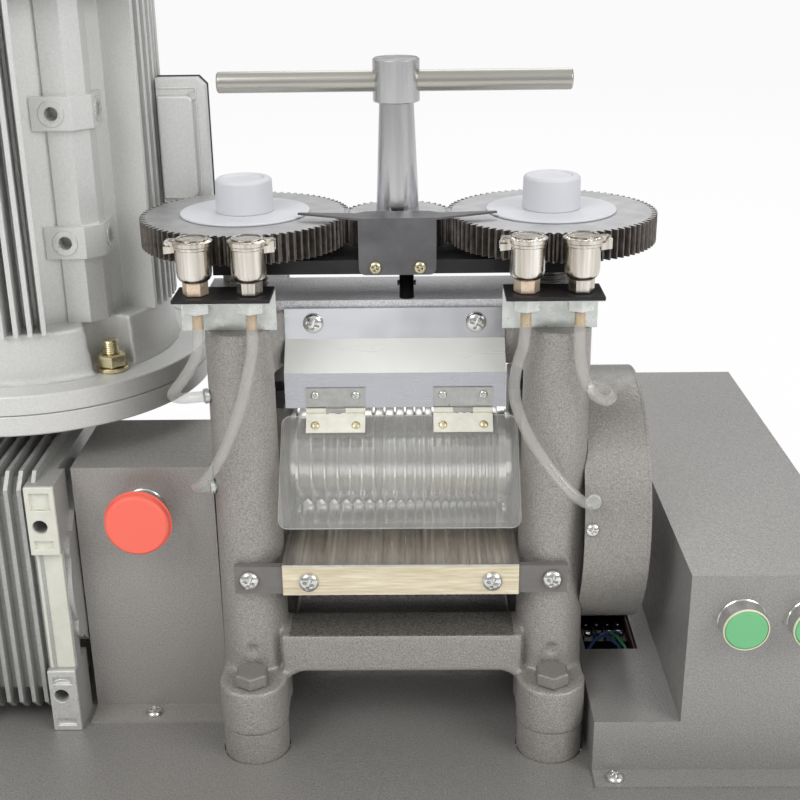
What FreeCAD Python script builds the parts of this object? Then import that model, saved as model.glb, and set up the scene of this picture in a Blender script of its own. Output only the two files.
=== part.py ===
import FreeCAD, Part
import math
import os

# Motor driven jewellers rolling mill on its bed plate, in millimetres.
# X runs along the rolls to the right, Y away from the operator, Z up.
# The origin is under the middle of the mill, on the underside of the bed plate.

# ---------------------------------------------------------------- driving dimensions
# bed plate and the ring spacers that carry the mill through it
bed_thickness = 6.0
bed_left, bed_right, bed_front, bed_back = -372.0, 298.0, -150.0, 272.0
bed_hole_r = 4.5
bed_hole_inset = 16.0
spacer_r = 20.3
spacer_height = 20.8
spacer_clearance = 0.6

# screw-down gears set the distance between the two side frames
gear_module = 1.5
gear_teeth = 82
pinion_teeth = 41
gear_face = 17.0
gear_backlash = 0.16

# rolls
roll_d = 66.0
roll_gap = 2.0
roll_length = 132.0
lower_axis_height = 98.0
journal_d = 42.0
shaft_end_d = 32.0
running_clearance = 0.05
bush_wall = 5.0
groove_first_pitch = 8.8
groove_pitch_ratio = 0.96
groove_land = 1.1
groove_margin = 1.2

# roll gears
roll_gear_teeth = 14
roll_gear_face = 24.0
roll_gear_backlash = 0.55

# mill frame
column_top_r = 19.2
column_foot_r = 21.0
column_half_pitch = 57.0
foot_boss_r = 21.0
foot_boss_y = 81.5
foot_boss_height = 50.6
spotface_r = 13.2
spotface_clearance = 1.4
window_half = 36.0
window_bottom = 62.0
chock_headroom = 23.0
head_beam_depth = 35.0
rail_half = 15.0
web_half = 18.0
beam_half = 27.0
base_beam_top = 76.3
base_beam_bottom = 51.0
base_beam_depth = 30.0
base_floor = 6.0
gusset_run, gusset_depth = 5.5, 14.0
arch_r = 15.0
foot_bolt_r = 6.0
foot_bolt_flats = 19.0
foot_bolt_head = 8.0

# chocks that carry the roll journals
chock_half_x = 22.0
chock_half_height = 33.0
chock_clearance = 0.3
keeper_half = 38.8
chock_head = 47.0

# cap plate, nuts and screws
cap_plate_thickness = 6.0
cap_plate_half_x = 118.0
cap_plate_half_y = 26.0
screw_r = 12.0
screw_pitch = 3.0
screw_thread_depth = 1.5
screw_nut_wall = 4.0
screw_head_r = 13.0
screw_head_height = 5.8
screw_neck_r = 8.0
screw_head_gap = 0.3
screw_head_cover = 2.4
cap_bolt_r = 4.0

# bridge bar, pinion spindle, handle
bridge_rise = 19.0
bridge_thickness = 8.3
bridge_half_x = 108.0
bridge_front, bridge_back = -37.0, 31.0
gear_hub_gap = 0.3
gear_rise = 31.0
spindle_r = 10.0
spindle_collar_r = 13.0
guide_rod_r = 4.35
guide_rod_at = (5.0, -20.0)
handle_foot_r = 12.9
handle_neck_r = 10.1
handle_head_r = 13.65
handle_head_height = 25.2
handle_length = 90.0
t_bar_r = 6.1
t_bar_length = 206.7
t_bar_shift = -0.95
dial_r = 39.0
dial_thickness = 1.4
knob_r = 17.4
knob_height = 20.0
pointer_sheet = 1.2
pointer_half_x = 22.6
pointer_rise = 4.2
pointer_drop = 0.4
pointer_tip = (58.5, -22.0)
cover_screw_x = 13.0

# guard, visor and feed table
guard_middle = -2.4
guard_half_x = 66.2
guard_sheet = 1.2
guard_rise = 1.6
guard_upper_drop = 17.9
guard_lower_drop = 34.3
guard_drop = 56.0
guard_step = 16.0
guard_screw_x = 48.8
guard_screw_drop = 7.55
hinge_width = 35.5
hinge_x = 38.2
hinge_leaf = 14.0
hinge_sheet = 1.0
hinge_pin_r = 0.8
hinge_knuckle_r = 1.7
hinge_screw_half = 12.2
visor_half_x = 70.9
visor_length = 71.0
visor_sheet = 2.0
visor_lean = 44.0
visor_corner_r = 6.0
table_half_x = 70.8
table_sheet = 2.0
table_height = 129.9
table_back = -29.5
lip_depth = 18.1
table_bar_half_x = 100.0
table_bar_thickness = 5.0
table_bar_screw_x = 91.0
table_screw_x = 55.0

# oil cups and their brackets
cup_pitch = 30.0
left_bracket_x, right_bracket_x = -96.0, 86.5
bracket_half_x = 27.0
bracket_sheet = 2.5
bracket_rise = 26.0
bracket_back = -62.0
bracket_front = -92.0
cup_y = -80.0
cup_r = 9.75
cup_wall = 1.1
cup_hex_flats = 15.0
cup_hex_height = 8.0
cup_height = 28.0
lid_r = 11.0
lid_thickness = 3.2
lid_hinge_reach = 13.2
lid_pin_r = 0.9
fitting_nut_height = 8.0
fitting_nut_flats = 14.0
barb_r = 3.3
barb_length = 9.5
hose_d = 6.5
hose_lead, hose_tail = 9.5, 4.6

# roll gear housing
drum_r = 81.5
drum_wall = 2.2
drum_height = 139.2
drum_left, drum_right = 114.8, 147.0
drum_skirt_left = 109.6
drum_seat_r = 7.0
drum_seat_offset = 38.0
housing_port_x = 114.3
housing_port_angle = 20.0
housing_port_rise = 2.4
clamp_angle = 8.0
clamp_head_r = 4.2

# coupling cover box with the emergency stop
box_right = -116.5
box_to_reducer = 0.5
box_half_y = 39.5
box_height = 174.5
box_sheet = 1.5
box_flange = 19.5
box_screw_x = 40.0
neck_opening_r, shaft_opening_r = 32.0, 22.0
estop_x, estop_drop = -160.5, 27.6
estop_r = 20.0
estop_front = -66.0

# worm reducer and vertical motor
worm_centre_distance = 75.0
reducer_x = -251.0
reducer_half_core = 37.0
reducer_half_x = 46.0
reducer_front, reducer_back = -64.0, 118.0
reducer_low, reducer_high = 8.0, 181.0
reducer_fin = 2.6
reducer_fin_pitch = 8.2
lug_x = (24.5, 42.5)
lug_depth = 26.0
lug_low, lug_high = (0.0, 44.7), (128.0, 173.5)
lug_hole_x, lug_hole_r, lug_hole_depth = 31.5, 4.6, 16.0
lug_hole_heights = (26.3, 147.0)
side_cover_r, side_cover_depth = 60.0, 8.5
cover_lobe_r, cover_lobe_at = 9.0, 56.0
worm_tip_r = 24.0
worm_root_r = 17.0
worm_pitch = 11.0
worm_half = 30.0
worm_shaft_end = 12.0
wheel_teeth = 40
wheel_tip_r = 48.0
wheel_face = 22.0
adapter_r = 117.0
adapter_bottom, adapter_top = 196.0, 209.5
motor_flange_top = 222.2
motor_bell_r = 92.0
motor_fins_bottom = 253.0
motor_body_top = 455.0
motor_core_r = 74.0
motor_fin_r = 97.0
motor_fin_spread, motor_fin_step = 20.0, 5.0
motor_rail = ((61.6, 41.0), (64.5, 41.0), (64.5, 55.5))
motor_bore_r = 58.0
motor_shaft_r = 14.0
rotor_clearance = 0.8
rotor_low_margin, rotor_high_margin = 25.0, 35.0
fan_r, fan_hub_r = 78.0, 26.0
fan_height, fan_disc = 22.0, 3.0
fan_blades, fan_blade = 7, 2.4
cowl_height = 66.0
cowl_sheet = 1.5
cowl_slots, cowl_slot = 16, 5.2
cowl_slot_span = (30.0, 80.0)
motor_pad_low, motor_pad_high = 305.2, 383.7
motor_pad_reach = 68.0
motor_pad_inner, motor_pad_bevel = 33.0, 10.0
motor_pad_half = 10.0
motor_pad_hole = 45.5
terminal_x = (97.6, 129.0)
terminal_front = 62.0
terminal_heights = (309.0, 397.4)
terminal_lid, terminal_gasket = 10.0, 2.0
terminal_margin = 11.0
terminal_seat_x = (70.0, 110.0)
flange_bolt_r = 92.0
flange_bolt_angle = -44.0
flange_pocket_r = 13.0
flange_stud_r = 6.0
output_r = 17.5
sleeve_r = 27.0
sleeve_gap = 8.0

# control console
console_left, console_step, console_right = 116.0, 167.8, 269.2
console_front, console_back = -110.3, 233.3
console_step_height = 36.2
console_height = 135.7
console_sheet = 1.5
console_flange = 16.0
console_screw_inset = (12.8, 18.0)
cutout_x = (120.8, 155.5)
cutout_y = (-29.6, 15.6)
button_x = (198.5, 238.7)
button_height = 106.4
bezel_r = 14.5
bezel_depth = 11.0
button_r = 12.4
push_hole_r = 11.2
wire_r = 1.3
terminal_rise = 22.0
terminal_pitch, terminal_row = 7.0, 12.0
terminal_screw_r, terminal_screw = 2.4, 1.6

# small fasteners
panel_shank_r = 2.5
panel_shank = 5.0
panel_head_r = 5.7
front_head_r = 6.2
front_shank_r = 3.0
front_shank = 14.0
bracket_screw_y = -52.0
cap_bolt_offset = 12.0
cap_bolt_y = 20.0
port_r = 3.0
port_depth = 9.0
port_boss = 0.4
port_collar_r = 4.4
port_collar = 2.6
port_places = ((-1, 40.0), (-1, 98.0), (1, 37.0))
port_turn = 20.0

# ---------------------------------------------------------------- worked out sizes
bed_top = bed_thickness
side_x = gear_module * (gear_teeth + pinion_teeth) / 2.0
spacer_top = bed_top + spacer_height
lower_axis = bed_top + lower_axis_height
upper_axis = lower_axis + roll_d + roll_gap
journal_r = journal_d / 2.0
shaft_end_r = shaft_end_d / 2.0
bush_r = journal_r + running_clearance + bush_wall
window_low = bed_top + window_bottom
upper_chock_top = upper_axis + chock_head
window_high = upper_chock_top + chock_headroom
frame_top = window_high + head_beam_depth
cap_plate_top = frame_top + cap_plate_thickness
bridge_bottom = cap_plate_top + bridge_rise
bridge_top = bridge_bottom + bridge_thickness
gear_bottom = cap_plate_top + gear_rise
gear_top = gear_bottom + gear_face
handle_head_bottom = gear_top + handle_length - handle_head_height
roll_gear_x = drum_left + 4.4
roll_gear_module = roll_d / roll_gear_teeth
hinge_axis = (-beam_half - guard_step - guard_sheet - hinge_knuckle_r, frame_top - guard_drop - 1.0)
column_slope = (column_foot_r - column_top_r) / (frame_top - spacer_top)
motor_y = worm_centre_distance
drum_axis = bed_top + drum_height
bar_z = (bed_top + table_height - table_sheet - lip_depth, bed_top + table_height - table_sheet)
front_screw_z = (bar_z[0] + bar_z[1]) / 2.0
cap_bolt_x = side_x + cap_bolt_offset
cup_stem_r = fitting_nut_flats / 2.0 - 2.5
shelf_top = frame_top + bracket_rise
stem_foot = shelf_top - bracket_sheet - fitting_nut_height
cover_screw_z = bridge_bottom + bridge_thickness / 2.0
box_left = reducer_x + reducer_half_x + box_to_reducer
estop_height = box_height - estop_drop
lower_neck_end = (box_left + box_right) / 2.0 + 12.5
fan_low = bed_top + motor_body_top + 16.0

X_AXIS = FreeCAD.Vector(1, 0, 0)
Y_AXIS = FreeCAD.Vector(0, 1, 0)
Z_AXIS = FreeCAD.Vector(0, 0, 1)


# ---------------------------------------------------------------- geometry helpers
def vec(x, y, z):
    return FreeCAD.Vector(x, y, z)


def about(middle, half):
    """Span of a length given by its middle and half size."""
    return (middle - half, middle + half)


def box(x, y, z):
    """Block between the low and high values of each axis."""
    return Part.makeBox(x[1] - x[0], y[1] - y[0], z[1] - z[0], vec(x[0], y[0], z[0]))


def rod(direction, start, radius, length):
    return Part.makeCylinder(radius, length, vec(*start), direction)


def tube(direction, start, outer, inner, length):
    return rod(direction, start, outer, length).cut(rod(direction, start, inner, length))


def join(shapes):
    return shapes[0].multiFuse(shapes[1:]).removeSplitter()


def group(shapes):
    return Part.makeCompound(shapes)


def prism(points, direction):
    """Straight body with the given corner points as its end outline."""
    corners = [vec(*p) for p in points]
    return Part.Face(Part.makePolygon(corners + corners[:1])).extrude(direction)


def turned(profile, centre, direction, across):
    """Body of revolution: profile is (distance along direction, radius) corners."""
    corners = [centre + direction * a + across * r for a, r in profile]
    face = Part.Face(Part.makePolygon(corners + corners[:1]))
    return face.revolve(centre, direction, 360.0)


def hexagon(direction, start, flats, height):
    """Six sided prism, a corner towards the operator on an upright axis."""
    corner = flats / math.sqrt(3.0)
    angles = [math.radians(60.0 * i + 90.0) for i in range(6)]
    points = [(corner * math.cos(a), corner * math.sin(a), 0.0) for a in angles]
    shape = prism(points, vec(0, 0, height))
    shape.Placement = FreeCAD.Placement(vec(*start), FreeCAD.Rotation(Z_AXIS, direction))
    return shape


def hex_bolt(direction, seat, flats, head, shank_r, shank):
    """Bolt whose head stands on seat and points along direction."""
    base = vec(*seat)
    head_shape = hexagon(direction, seat, flats, head)
    start = base - direction * shank
    return join([head_shape, Part.makeCylinder(shank_r, shank, start, direction)])


def pan_screw(out, seat, head_r, shank_r, shank):
    """Cross recessed pan head screw, head standing on seat towards out."""
    head_h = head_r * 0.62
    edge = head_h * 0.3
    rim = Part.makeCylinder(head_r, edge, vec(0, 0, 0), Z_AXIS)
    cap = Part.makeCone(head_r, head_r * 0.55, head_h - edge, vec(0, 0, edge), Z_AXIS)
    body = join([rim, cap, Part.makeCylinder(shank_r, shank, vec(0, 0, -shank), Z_AXIS)])
    arm, wide = head_r * 0.45, head_r * 0.13
    deep = (head_h * 0.45, head_h + 1.0)
    cross = [box(about(0, arm), about(0, wide), deep), box(about(0, wide), about(0, arm), deep)]
    body = body.cut(cross)
    body.Placement = FreeCAD.Placement(vec(*seat), FreeCAD.Rotation(Z_AXIS, out))
    return body


def involute(angle):
    return math.tan(angle) - angle


def gear_outline(module, teeth, backlash, phase, addendum=1.0):
    """Corner points (x, y) of a spur gear with 20 degree flanks and thinned teeth."""
    pitch_r = module * teeth / 2.0
    base_r = pitch_r * math.cos(math.radians(20.0))
    root_r = pitch_r - 1.25 * module
    tip_r = pitch_r + addendum * module
    half_tooth = math.pi / (2.0 * teeth) + involute(math.radians(20.0)) - backlash / pitch_r
    flank = []
    for radius in (root_r, pitch_r, tip_r):
        pressure = math.acos(min(1.0, base_r / radius))
        flank.append((radius, half_tooth - involute(pressure)))
    points = []
    for i in range(teeth):
        middle = math.radians(phase) + 2.0 * math.pi * i / teeth
        for radius, half in flank:
            points.append((radius * math.cos(middle - half), radius * math.sin(middle - half)))
        for radius, half in reversed(flank):
            points.append((radius * math.cos(middle + half), radius * math.sin(middle + half)))
    return points


def bored_plate(points, centre, bore_r, axes, direction):
    """Plate with a polygon outline in the plane of two axes, and a round bore."""
    corners = [centre + axes[0] * u + axes[1] * v for u, v in points]
    outer = Part.makePolygon(corners + corners[:1])
    bore = Part.Wire(Part.Circle(centre, direction, bore_r).toShape())
    return Part.makeFace([outer, bore], "Part::FaceMakerBullseye").extrude(direction)


def hose(points, diameter):
    """Hose through points: straight runs joined by arcs as large as the runs allow."""
    path = [vec(*p) for p in points]
    edges, here = [], path[0]
    for before, corner, after in zip(path, path[1:], path[2:]):
        run_in, run_out = corner - before, after - corner
        short = min(run_in.Length, run_out.Length)
        turn = run_in.getAngle(run_out)
        reach = 0.45 * short
        radius = reach / math.tan(turn / 2.0)
        unit_in, unit_out = run_in.normalize(), run_out.normalize()
        start, end = corner - unit_in * reach, corner + unit_out * reach
        inward = (unit_out - unit_in).normalize()
        centre = corner + inward * math.hypot(radius, reach)
        middle = centre - inward * radius
        edges += [Part.LineSegment(here, start).toShape(), Part.Arc(start, middle, end).toShape()]
        here = end
    edges.append(Part.LineSegment(here, path[-1]).toShape())
    spine = Part.Wire(edges)
    facing = path[1] - path[0]
    section = Part.Wire(Part.Circle(path[0], facing, diameter / 2.0).toShape())
    return spine.makePipeShell([section], True, False)


def column_r(z):
    """Radius of a frame column at height z."""
    return column_foot_r - column_slope * (z - spacer_top)


# ---------------------------------------------------------------- bed and mill frame
def foot_places():
    return [(sx * side_x, sy * foot_boss_y) for sx in (-1, 1) for sy in (-1, 1)]


def bed_plate():
    plate = box((bed_left, bed_right), (bed_front, bed_back), (0, bed_top))
    hole_r = spacer_r + spacer_clearance
    tools = [rod(Z_AXIS, (x, y, -1), hole_r, bed_top + 2) for x, y in foot_places()]
    for x in (bed_left + bed_hole_inset, bed_right - bed_hole_inset):
        for y in (bed_front + bed_hole_inset, bed_back - bed_hole_inset):
            tools.append(rod(Z_AXIS, (x, y, -1), bed_hole_r, bed_top + 2))
    shank_foot = bed_top - panel_shank
    tools += [rod(Z_AXIS, (x, y, shank_foot), panel_shank_r, 20) for x, y, z in panel_seats()]
    return plate.cut(tools)


def foot_spacers():
    return group([tube(Z_AXIS, (x, y, 0), spacer_r, foot_bolt_r, spacer_top) for x, y in foot_places()])


def base_beam(y_low, y_high):
    """Cross beam between the side frames, arched underneath."""
    inner = side_x - column_foot_r + 3.0
    low, high = bed_top + base_beam_bottom, bed_top + base_beam_top
    bulge = arch_r * (1 - math.sqrt(0.5))

    def at(x, z):
        return vec(x, y_low, z)

    def arch(side):
        start = at(side * (inner - arch_r), low)
        return start, at(side * (inner - bulge), low - bulge), at(side * inner, low - arch_r)

    right, left = arch(1), arch(-1)
    outline = [Part.LineSegment(at(-inner, high), at(inner, high)),
               Part.LineSegment(at(inner, high), right[2]),
               Part.Arc(right[2], right[1], right[0]),
               Part.LineSegment(right[0], left[0]),
               Part.Arc(left[0], left[1], left[2]),
               Part.LineSegment(left[2], at(-inner, high))]
    wire = Part.Wire([edge.toShape() for edge in outline])
    return Part.Face(wire).extrude(vec(0, y_high - y_low, 0))


def side_frame(side):
    """Four walls round one chock window: two columns, a foot web and a head web."""
    x = side * side_x
    parts = []
    for end in (-1, 1):
        y = end * column_half_pitch
        parts.append(Part.makeCone(column_foot_r, column_top_r, frame_top - spacer_top,
                                   vec(x, y, spacer_top), Z_AXIS))
        boss_y = end * foot_boss_y
        boss_top = bed_top + foot_boss_height
        parts.append(rod(Z_AXIS, (x, boss_y, spacer_top), foot_boss_r, boss_top - spacer_top))
        parts.append(box(about(x, foot_boss_r - 0.5), tuple(sorted((y, boss_y))), (spacer_top, boss_top)))
        rail_y = tuple(sorted((end * window_half, y)))
        parts.append(box(about(x, rail_half), rail_y, (window_low - 2, window_high + 2)))
        seat_x = sorted((x, side * drum_left))
        if side > 0:
            for z in about(drum_axis, drum_seat_offset):
                parts.append(rod(X_AXIS, (seat_x[0], y, z), drum_seat_r, seat_x[1] - seat_x[0]))
    span = (-column_half_pitch, column_half_pitch)
    parts.append(box(about(x, web_half), span, (spacer_top + 9, window_low)))
    parts.append(box(about(x, web_half), span, (window_high, frame_top)))
    return parts


def gusset(side, end):
    """Web in the corner between the head beam and a column."""
    inner = side_x - column_top_r + 1.0
    points = [(side * inner, end * (beam_half - 1), window_high),
              (side * (inner - gusset_run), end * (beam_half - 1), window_high),
              (side * inner, end * (beam_half + gusset_depth), window_high)]
    return prism(points, vec(0, 0, frame_top - window_high))


def mill_frame():
    parts = side_frame(-1) + side_frame(1)
    parts.append(box((-side_x, side_x), about(0, beam_half), (window_high, frame_top)))
    parts += [gusset(side, end) for side in (-1, 1) for end in (-1, 1)]
    front = -column_half_pitch - column_r(bed_top + base_beam_top) + 0.3
    parts.append(base_beam(front, front + base_beam_depth))
    parts.append(base_beam(-front - base_beam_depth, -front))
    floor_low = bed_top + base_beam_bottom
    parts.append(box(about(0, side_x - web_half + 1), about(0, -front - base_beam_depth + 1),
                     (floor_low, floor_low + base_floor)))
    return join(parts).cut(mill_frame_cuts())


# ---------------------------------------------------------------- fastener seats
def panel_seats():
    """Seat of each screw through a flange that lies on the bed."""
    top = bed_top + box_sheet
    middle = box_half_y + box_flange / 2.0
    seats = [(box_left + box_screw_x, y, top) for y in (-middle, middle)]
    for x in (console_left + console_screw_inset[0], console_right - console_screw_inset[1]):
        seats.append((x, console_front - console_flange / 2.0, top))
        seats.append((x, console_back + console_flange / 2.0, top))
    return seats


def bar_back():
    """Plane of the table bar's back, just clear of the columns."""
    return -column_half_pitch - column_r(bar_z[0]) - 0.25


def front_seats():
    """Seat of each large pan screw on the guard, the feed table and the table bar."""
    bar_front = bar_back() - table_bar_thickness
    seats = []
    for side in (-1, 1):
        guard_x = guard_middle + side * guard_screw_x
        seats.append((guard_x, -beam_half - guard_sheet, frame_top - guard_screw_drop))
        seats.append((side * table_screw_x, bar_front - table_sheet, front_screw_z))
        seats.append((side * table_bar_screw_x, bar_front, front_screw_z))
    return seats


def oil_ports():
    """Mouth and inward direction of each oil port in a column flank."""
    turn = math.radians(port_turn)
    ports = []
    for side, drop in port_places:
        outward = vec(side * math.cos(turn), -math.sin(turn), 0)
        centre = vec(side * side_x, -column_half_pitch, frame_top - drop)
        ports.append((centre + outward * (column_r(centre.z) + port_boss), outward * -1))
    return ports


def mill_frame_cuts():
    tools = []
    boss_top = bed_top + foot_boss_height
    for x, y in foot_places():
        tools.append(rod(Z_AXIS, (x, y, spacer_top - 1), foot_bolt_r, foot_boss_height))
        tools.append(rod(Z_AXIS, (x, y, boss_top), spotface_r, foot_bolt_head + spotface_clearance))
    for side in (-1, 1):
        nut_hole_r = screw_r + screw_nut_wall
        tools.append(rod(Z_AXIS, (side * side_x, 0, window_high - 1), nut_hole_r, head_beam_depth + 2))
        for y in about(0, cap_bolt_y):
            tools.append(rod(Z_AXIS, (side * cap_bolt_x, y, frame_top - 14), cap_bolt_r, 20))
    for x, y, z in front_seats():
        tools.append(rod(Y_AXIS, (x, y, z), front_shank_r, front_shank))
    x, y = guide_rod_at
    tools.append(rod(Z_AXIS, (x, y, window_high - 1), guide_rod_r + 0.3, head_beam_depth + 2))
    for x in (left_bracket_x, right_bracket_x):
        tools.append(rod(Z_AXIS, (x, bracket_screw_y, frame_top - panel_shank), panel_shank_r, 20))
    for mouth, inward in oil_ports():
        tools.append(Part.makeCylinder(port_r, port_depth, mouth, inward))
    return tools


def foot_bolts():
    """Hex bolts down through the frame feet and spacers, and bolts of the cap plate."""
    seat = bed_top + foot_boss_height
    bolts = [hex_bolt(Z_AXIS, (x, y, seat), foot_bolt_flats, foot_bolt_head, foot_bolt_r, seat - 1.0)
             for x, y in foot_places()]
    for side in (-1, 1):
        for y in about(0, cap_bolt_y):
            bolts.append(hex_bolt(Z_AXIS, (side * cap_bolt_x, y, cap_plate_top), 13.0, 5.3,
                                  cap_bolt_r, cap_plate_thickness + 12.0))
    return group(bolts)


def cap_plate():
    plate = box(about(0, cap_plate_half_x), about(0, cap_plate_half_y), (frame_top, cap_plate_top))
    tools = []
    for side in (-1, 1):
        tools.append(rod(Z_AXIS, (side * side_x, 0, frame_top - 1), screw_r + 0.6, 10))
        for y in about(0, cap_bolt_y):
            tools.append(rod(Z_AXIS, (side * cap_bolt_x, y, frame_top - 1), cap_bolt_r, 10))
    x, y = guide_rod_at
    tools.append(rod(Z_AXIS, (x, y, frame_top - 1), guide_rod_r + running_clearance, 10))
    return plate.cut(tools)


def screw_nuts():
    return group([tube(Z_AXIS, (side * side_x, 0, window_high), screw_r + screw_nut_wall,
                       screw_r + running_clearance, head_beam_depth) for side in (-1, 1)])


# ---------------------------------------------------------------- chocks, rolls and roll gears
def chock(side, axis_z, low, high):
    """Block that slides between the column rails and holds one journal bush."""
    x = side * side_x
    slide = window_half - chock_clearance
    body = box(about(x, chock_half_x), about(0, slide), (low, high))
    inner = rail_half + chock_clearance
    keepers = []
    for s in (-1, 1):
        keeper_x = tuple(sorted((x + s * inner, x + s * chock_half_x)))
        keepers.append(box(keeper_x, about(0, keeper_half), (low, high)))
    body = join([body] + keepers)
    bore = rod(X_AXIS, (x - chock_half_x - 1, 0, axis_z), bush_r, 2 * chock_half_x + 2)
    return body.cut(bore)


def lower_chocks():
    top = lower_axis + chock_half_height
    return group([chock(side, lower_axis, window_low, top) for side in (-1, 1)])


def upper_chocks():
    """Upper blocks, with a tee slot along X that hooks over the foot of the screw."""
    blocks = []
    slot_low = upper_chock_top - screw_head_height - screw_head_cover - screw_head_gap
    slot_high = slot_low + screw_head_height + 2 * screw_head_gap
    for side in (-1, 1):
        x = side * side_x
        block = chock(side, upper_axis, upper_axis - chock_half_height, upper_chock_top)
        head = box(about(x, 40), about(0, screw_head_r + 0.6), (slot_low, slot_high))
        neck = box(about(x, 40), about(0, screw_neck_r + 0.6), (slot_low, upper_chock_top + 1))
        blocks.append(block.cut([head, neck]))
    return group(blocks)


def bushes(axis_z):
    length = 2 * chock_half_x
    return group([tube(X_AXIS, (side * side_x - chock_half_x, 0, axis_z), bush_r,
                       journal_r + running_clearance, length) for side in (-1, 1)])


def groove_profile():
    """Corners (x, r) of the barrel: vee grooves that get finer to the right."""
    half, radius = roll_length / 2.0, roll_d / 2.0
    points = [(-half, radius)]
    x, pitch = -half + groove_margin, groove_first_pitch
    while x + pitch < half - groove_margin:
        reach = (pitch - groove_land) / 2.0
        middle = x + pitch / 2.0
        points += [(middle - reach, radius), (middle, radius - reach), (middle + reach, radius)]
        x += pitch
        pitch *= groove_pitch_ratio
    points.append((half, radius))
    return points


def roll(axis_z, left_end):
    """Grooved roll with its journals, thrust collars and gear seat in one piece."""
    half = roll_length / 2.0
    chock_in = side_x - chock_half_x
    chock_out = side_x + chock_half_x
    collar_r = journal_r + 7.0
    thrust = chock_in - 0.3
    left = [(left_end, 0), (left_end, shaft_end_r), (-chock_out - 1, shaft_end_r),
            (-chock_out - 1, journal_r), (-thrust, journal_r), (-thrust, collar_r),
            (-half, collar_r)]
    right_end = drum_right - 4.0
    right = [(half, collar_r), (thrust, collar_r), (thrust, journal_r), (chock_out, journal_r),
             (chock_out, shaft_end_r), (right_end, shaft_end_r), (right_end, 0)]
    return turned(left + groove_profile() + right, vec(0, 0, axis_z), X_AXIS, Z_AXIS)


def roll_gear(axis_z, phase):
    points = gear_outline(roll_gear_module, roll_gear_teeth, roll_gear_backlash, phase, 0.95)
    centre = vec(roll_gear_x, 0, axis_z)
    return bored_plate(points, centre, shaft_end_r, (Y_AXIS, Z_AXIS), X_AXIS * roll_gear_face)


def roll_gear_housing():
    """Round housing over the roll gears, open to the rolls through an upright slot."""
    shell = tube(X_AXIS, (drum_skirt_left, 0, drum_axis), drum_r, drum_r - drum_wall,
                 drum_right - drum_skirt_left)
    across_chocks = box((drum_skirt_left - 1, drum_left), about(0, keeper_half + 0.7),
                        about(drum_axis, drum_r + 1))
    columns = [Part.makeCone(column_foot_r + 0.35, column_top_r + 0.35, frame_top - spacer_top,
                             vec(side_x, y, spacer_top), Z_AXIS)
               for y in about(0, column_half_pitch)]
    shell = shell.cut([across_chocks] + columns)
    back = rod(X_AXIS, (drum_left, 0, drum_axis), drum_r - 1, 3.0)
    slot_r = journal_r + 2.5
    low, high = lower_axis, upper_axis + 7.0
    slot = join([rod(X_AXIS, (drum_left - 1, 0, low), slot_r, 5),
                 rod(X_AXIS, (drum_left - 1, 0, high), slot_r, 5),
                 box((drum_left - 1, drum_left + 4), about(0, slot_r), (low, high))])
    out, foot = housing_port()
    port = Part.makeCylinder(port_r, 8.0, foot, out)
    inside = clamp_seat() - clamp_out() * 6.0
    screw_hole = Part.makeCylinder(panel_shank_r, 8.0, inside, clamp_out())
    return join([shell, back.cut(slot)]).cut([port, screw_hole])


def radial(angle):
    """Outward direction of the round housing at an angle above the horizontal."""
    a = math.radians(angle)
    return vec(0, -math.cos(a), math.sin(a))


def housing_port():
    """Direction and foot of the oil port in the housing wall."""
    out = radial(housing_port_angle)
    return out, vec(housing_port_x, 0, drum_axis) + out * (drum_r - drum_wall - 2.0)


def clamp_out():
    return radial(clamp_angle)


def clamp_seat():
    """Seat of the round headed screw in the housing wall."""
    middle = vec(drum_skirt_left + clamp_head_r + 0.2, 0, drum_axis)
    return middle + clamp_out() * (drum_r + 0.2)


def gear_housing_lid():
    lid_r_out = drum_r - drum_wall - 0.1
    lid = rod(X_AXIS, (drum_right - 3.0, 0, drum_axis), lid_r_out, 3.0)
    rim = tube(X_AXIS, (drum_right, 0, drum_axis), drum_r, drum_r - 9.0, 2.0)
    knob = rod(X_AXIS, (drum_right, 0, drum_axis), 22.0, 2.0)
    return join([lid, rim, knob])


# ---------------------------------------------------------------- screw-down gear train
def threaded_profile(low, high, radius):
    """Corners (z, r) of ring grooves at the screw's pitch."""
    points = []
    z = low
    while z + screw_pitch <= high:
        points += [(z, radius - screw_thread_depth), (z + screw_pitch / 2.0, radius)]
        z += screw_pitch
    points.append((z, radius - screw_thread_depth))
    return points


def pressure_screw(side):
    """Screw from the gear hub down through the nut to a button in the chock's slot."""
    head_low = upper_chock_top - screw_head_height - screw_head_cover
    head_high = head_low + screw_head_height
    shoulder = upper_chock_top + 1.0
    thread = threaded_profile(shoulder + 2.0, bridge_bottom - 2.0, screw_r)
    profile = [(head_low, 0), (head_low, screw_head_r), (head_high, screw_head_r),
               (head_high, screw_neck_r), (shoulder, screw_neck_r),
               (shoulder, screw_r - screw_thread_depth)] + thread
    profile += [(bridge_bottom - 1.0, screw_r), (gear_top, screw_r), (gear_top, 0)]
    return turned(profile, vec(side * side_x, 0, 0), Z_AXIS, X_AXIS)


def flat_gear(x, teeth, phase, bore):
    points = gear_outline(gear_module, teeth, gear_backlash, phase)
    return bored_plate(points, vec(x, 0, gear_bottom), bore, (X_AXIS, Y_AXIS), Z_AXIS * gear_face)


def screw_gear(side):
    """Large spur gear with the hub that rides on the bridge bar."""
    phase = 0.0 if side < 0 else 180.0 + 180.0 / gear_teeth
    gear = flat_gear(side * side_x, gear_teeth, phase, screw_r)
    hub_low = bridge_top + gear_hub_gap
    hub = tube(Z_AXIS, (side * side_x, 0, hub_low), screw_r + 8.0, screw_r, gear_bottom - hub_low)
    return join([gear, hub])


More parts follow.
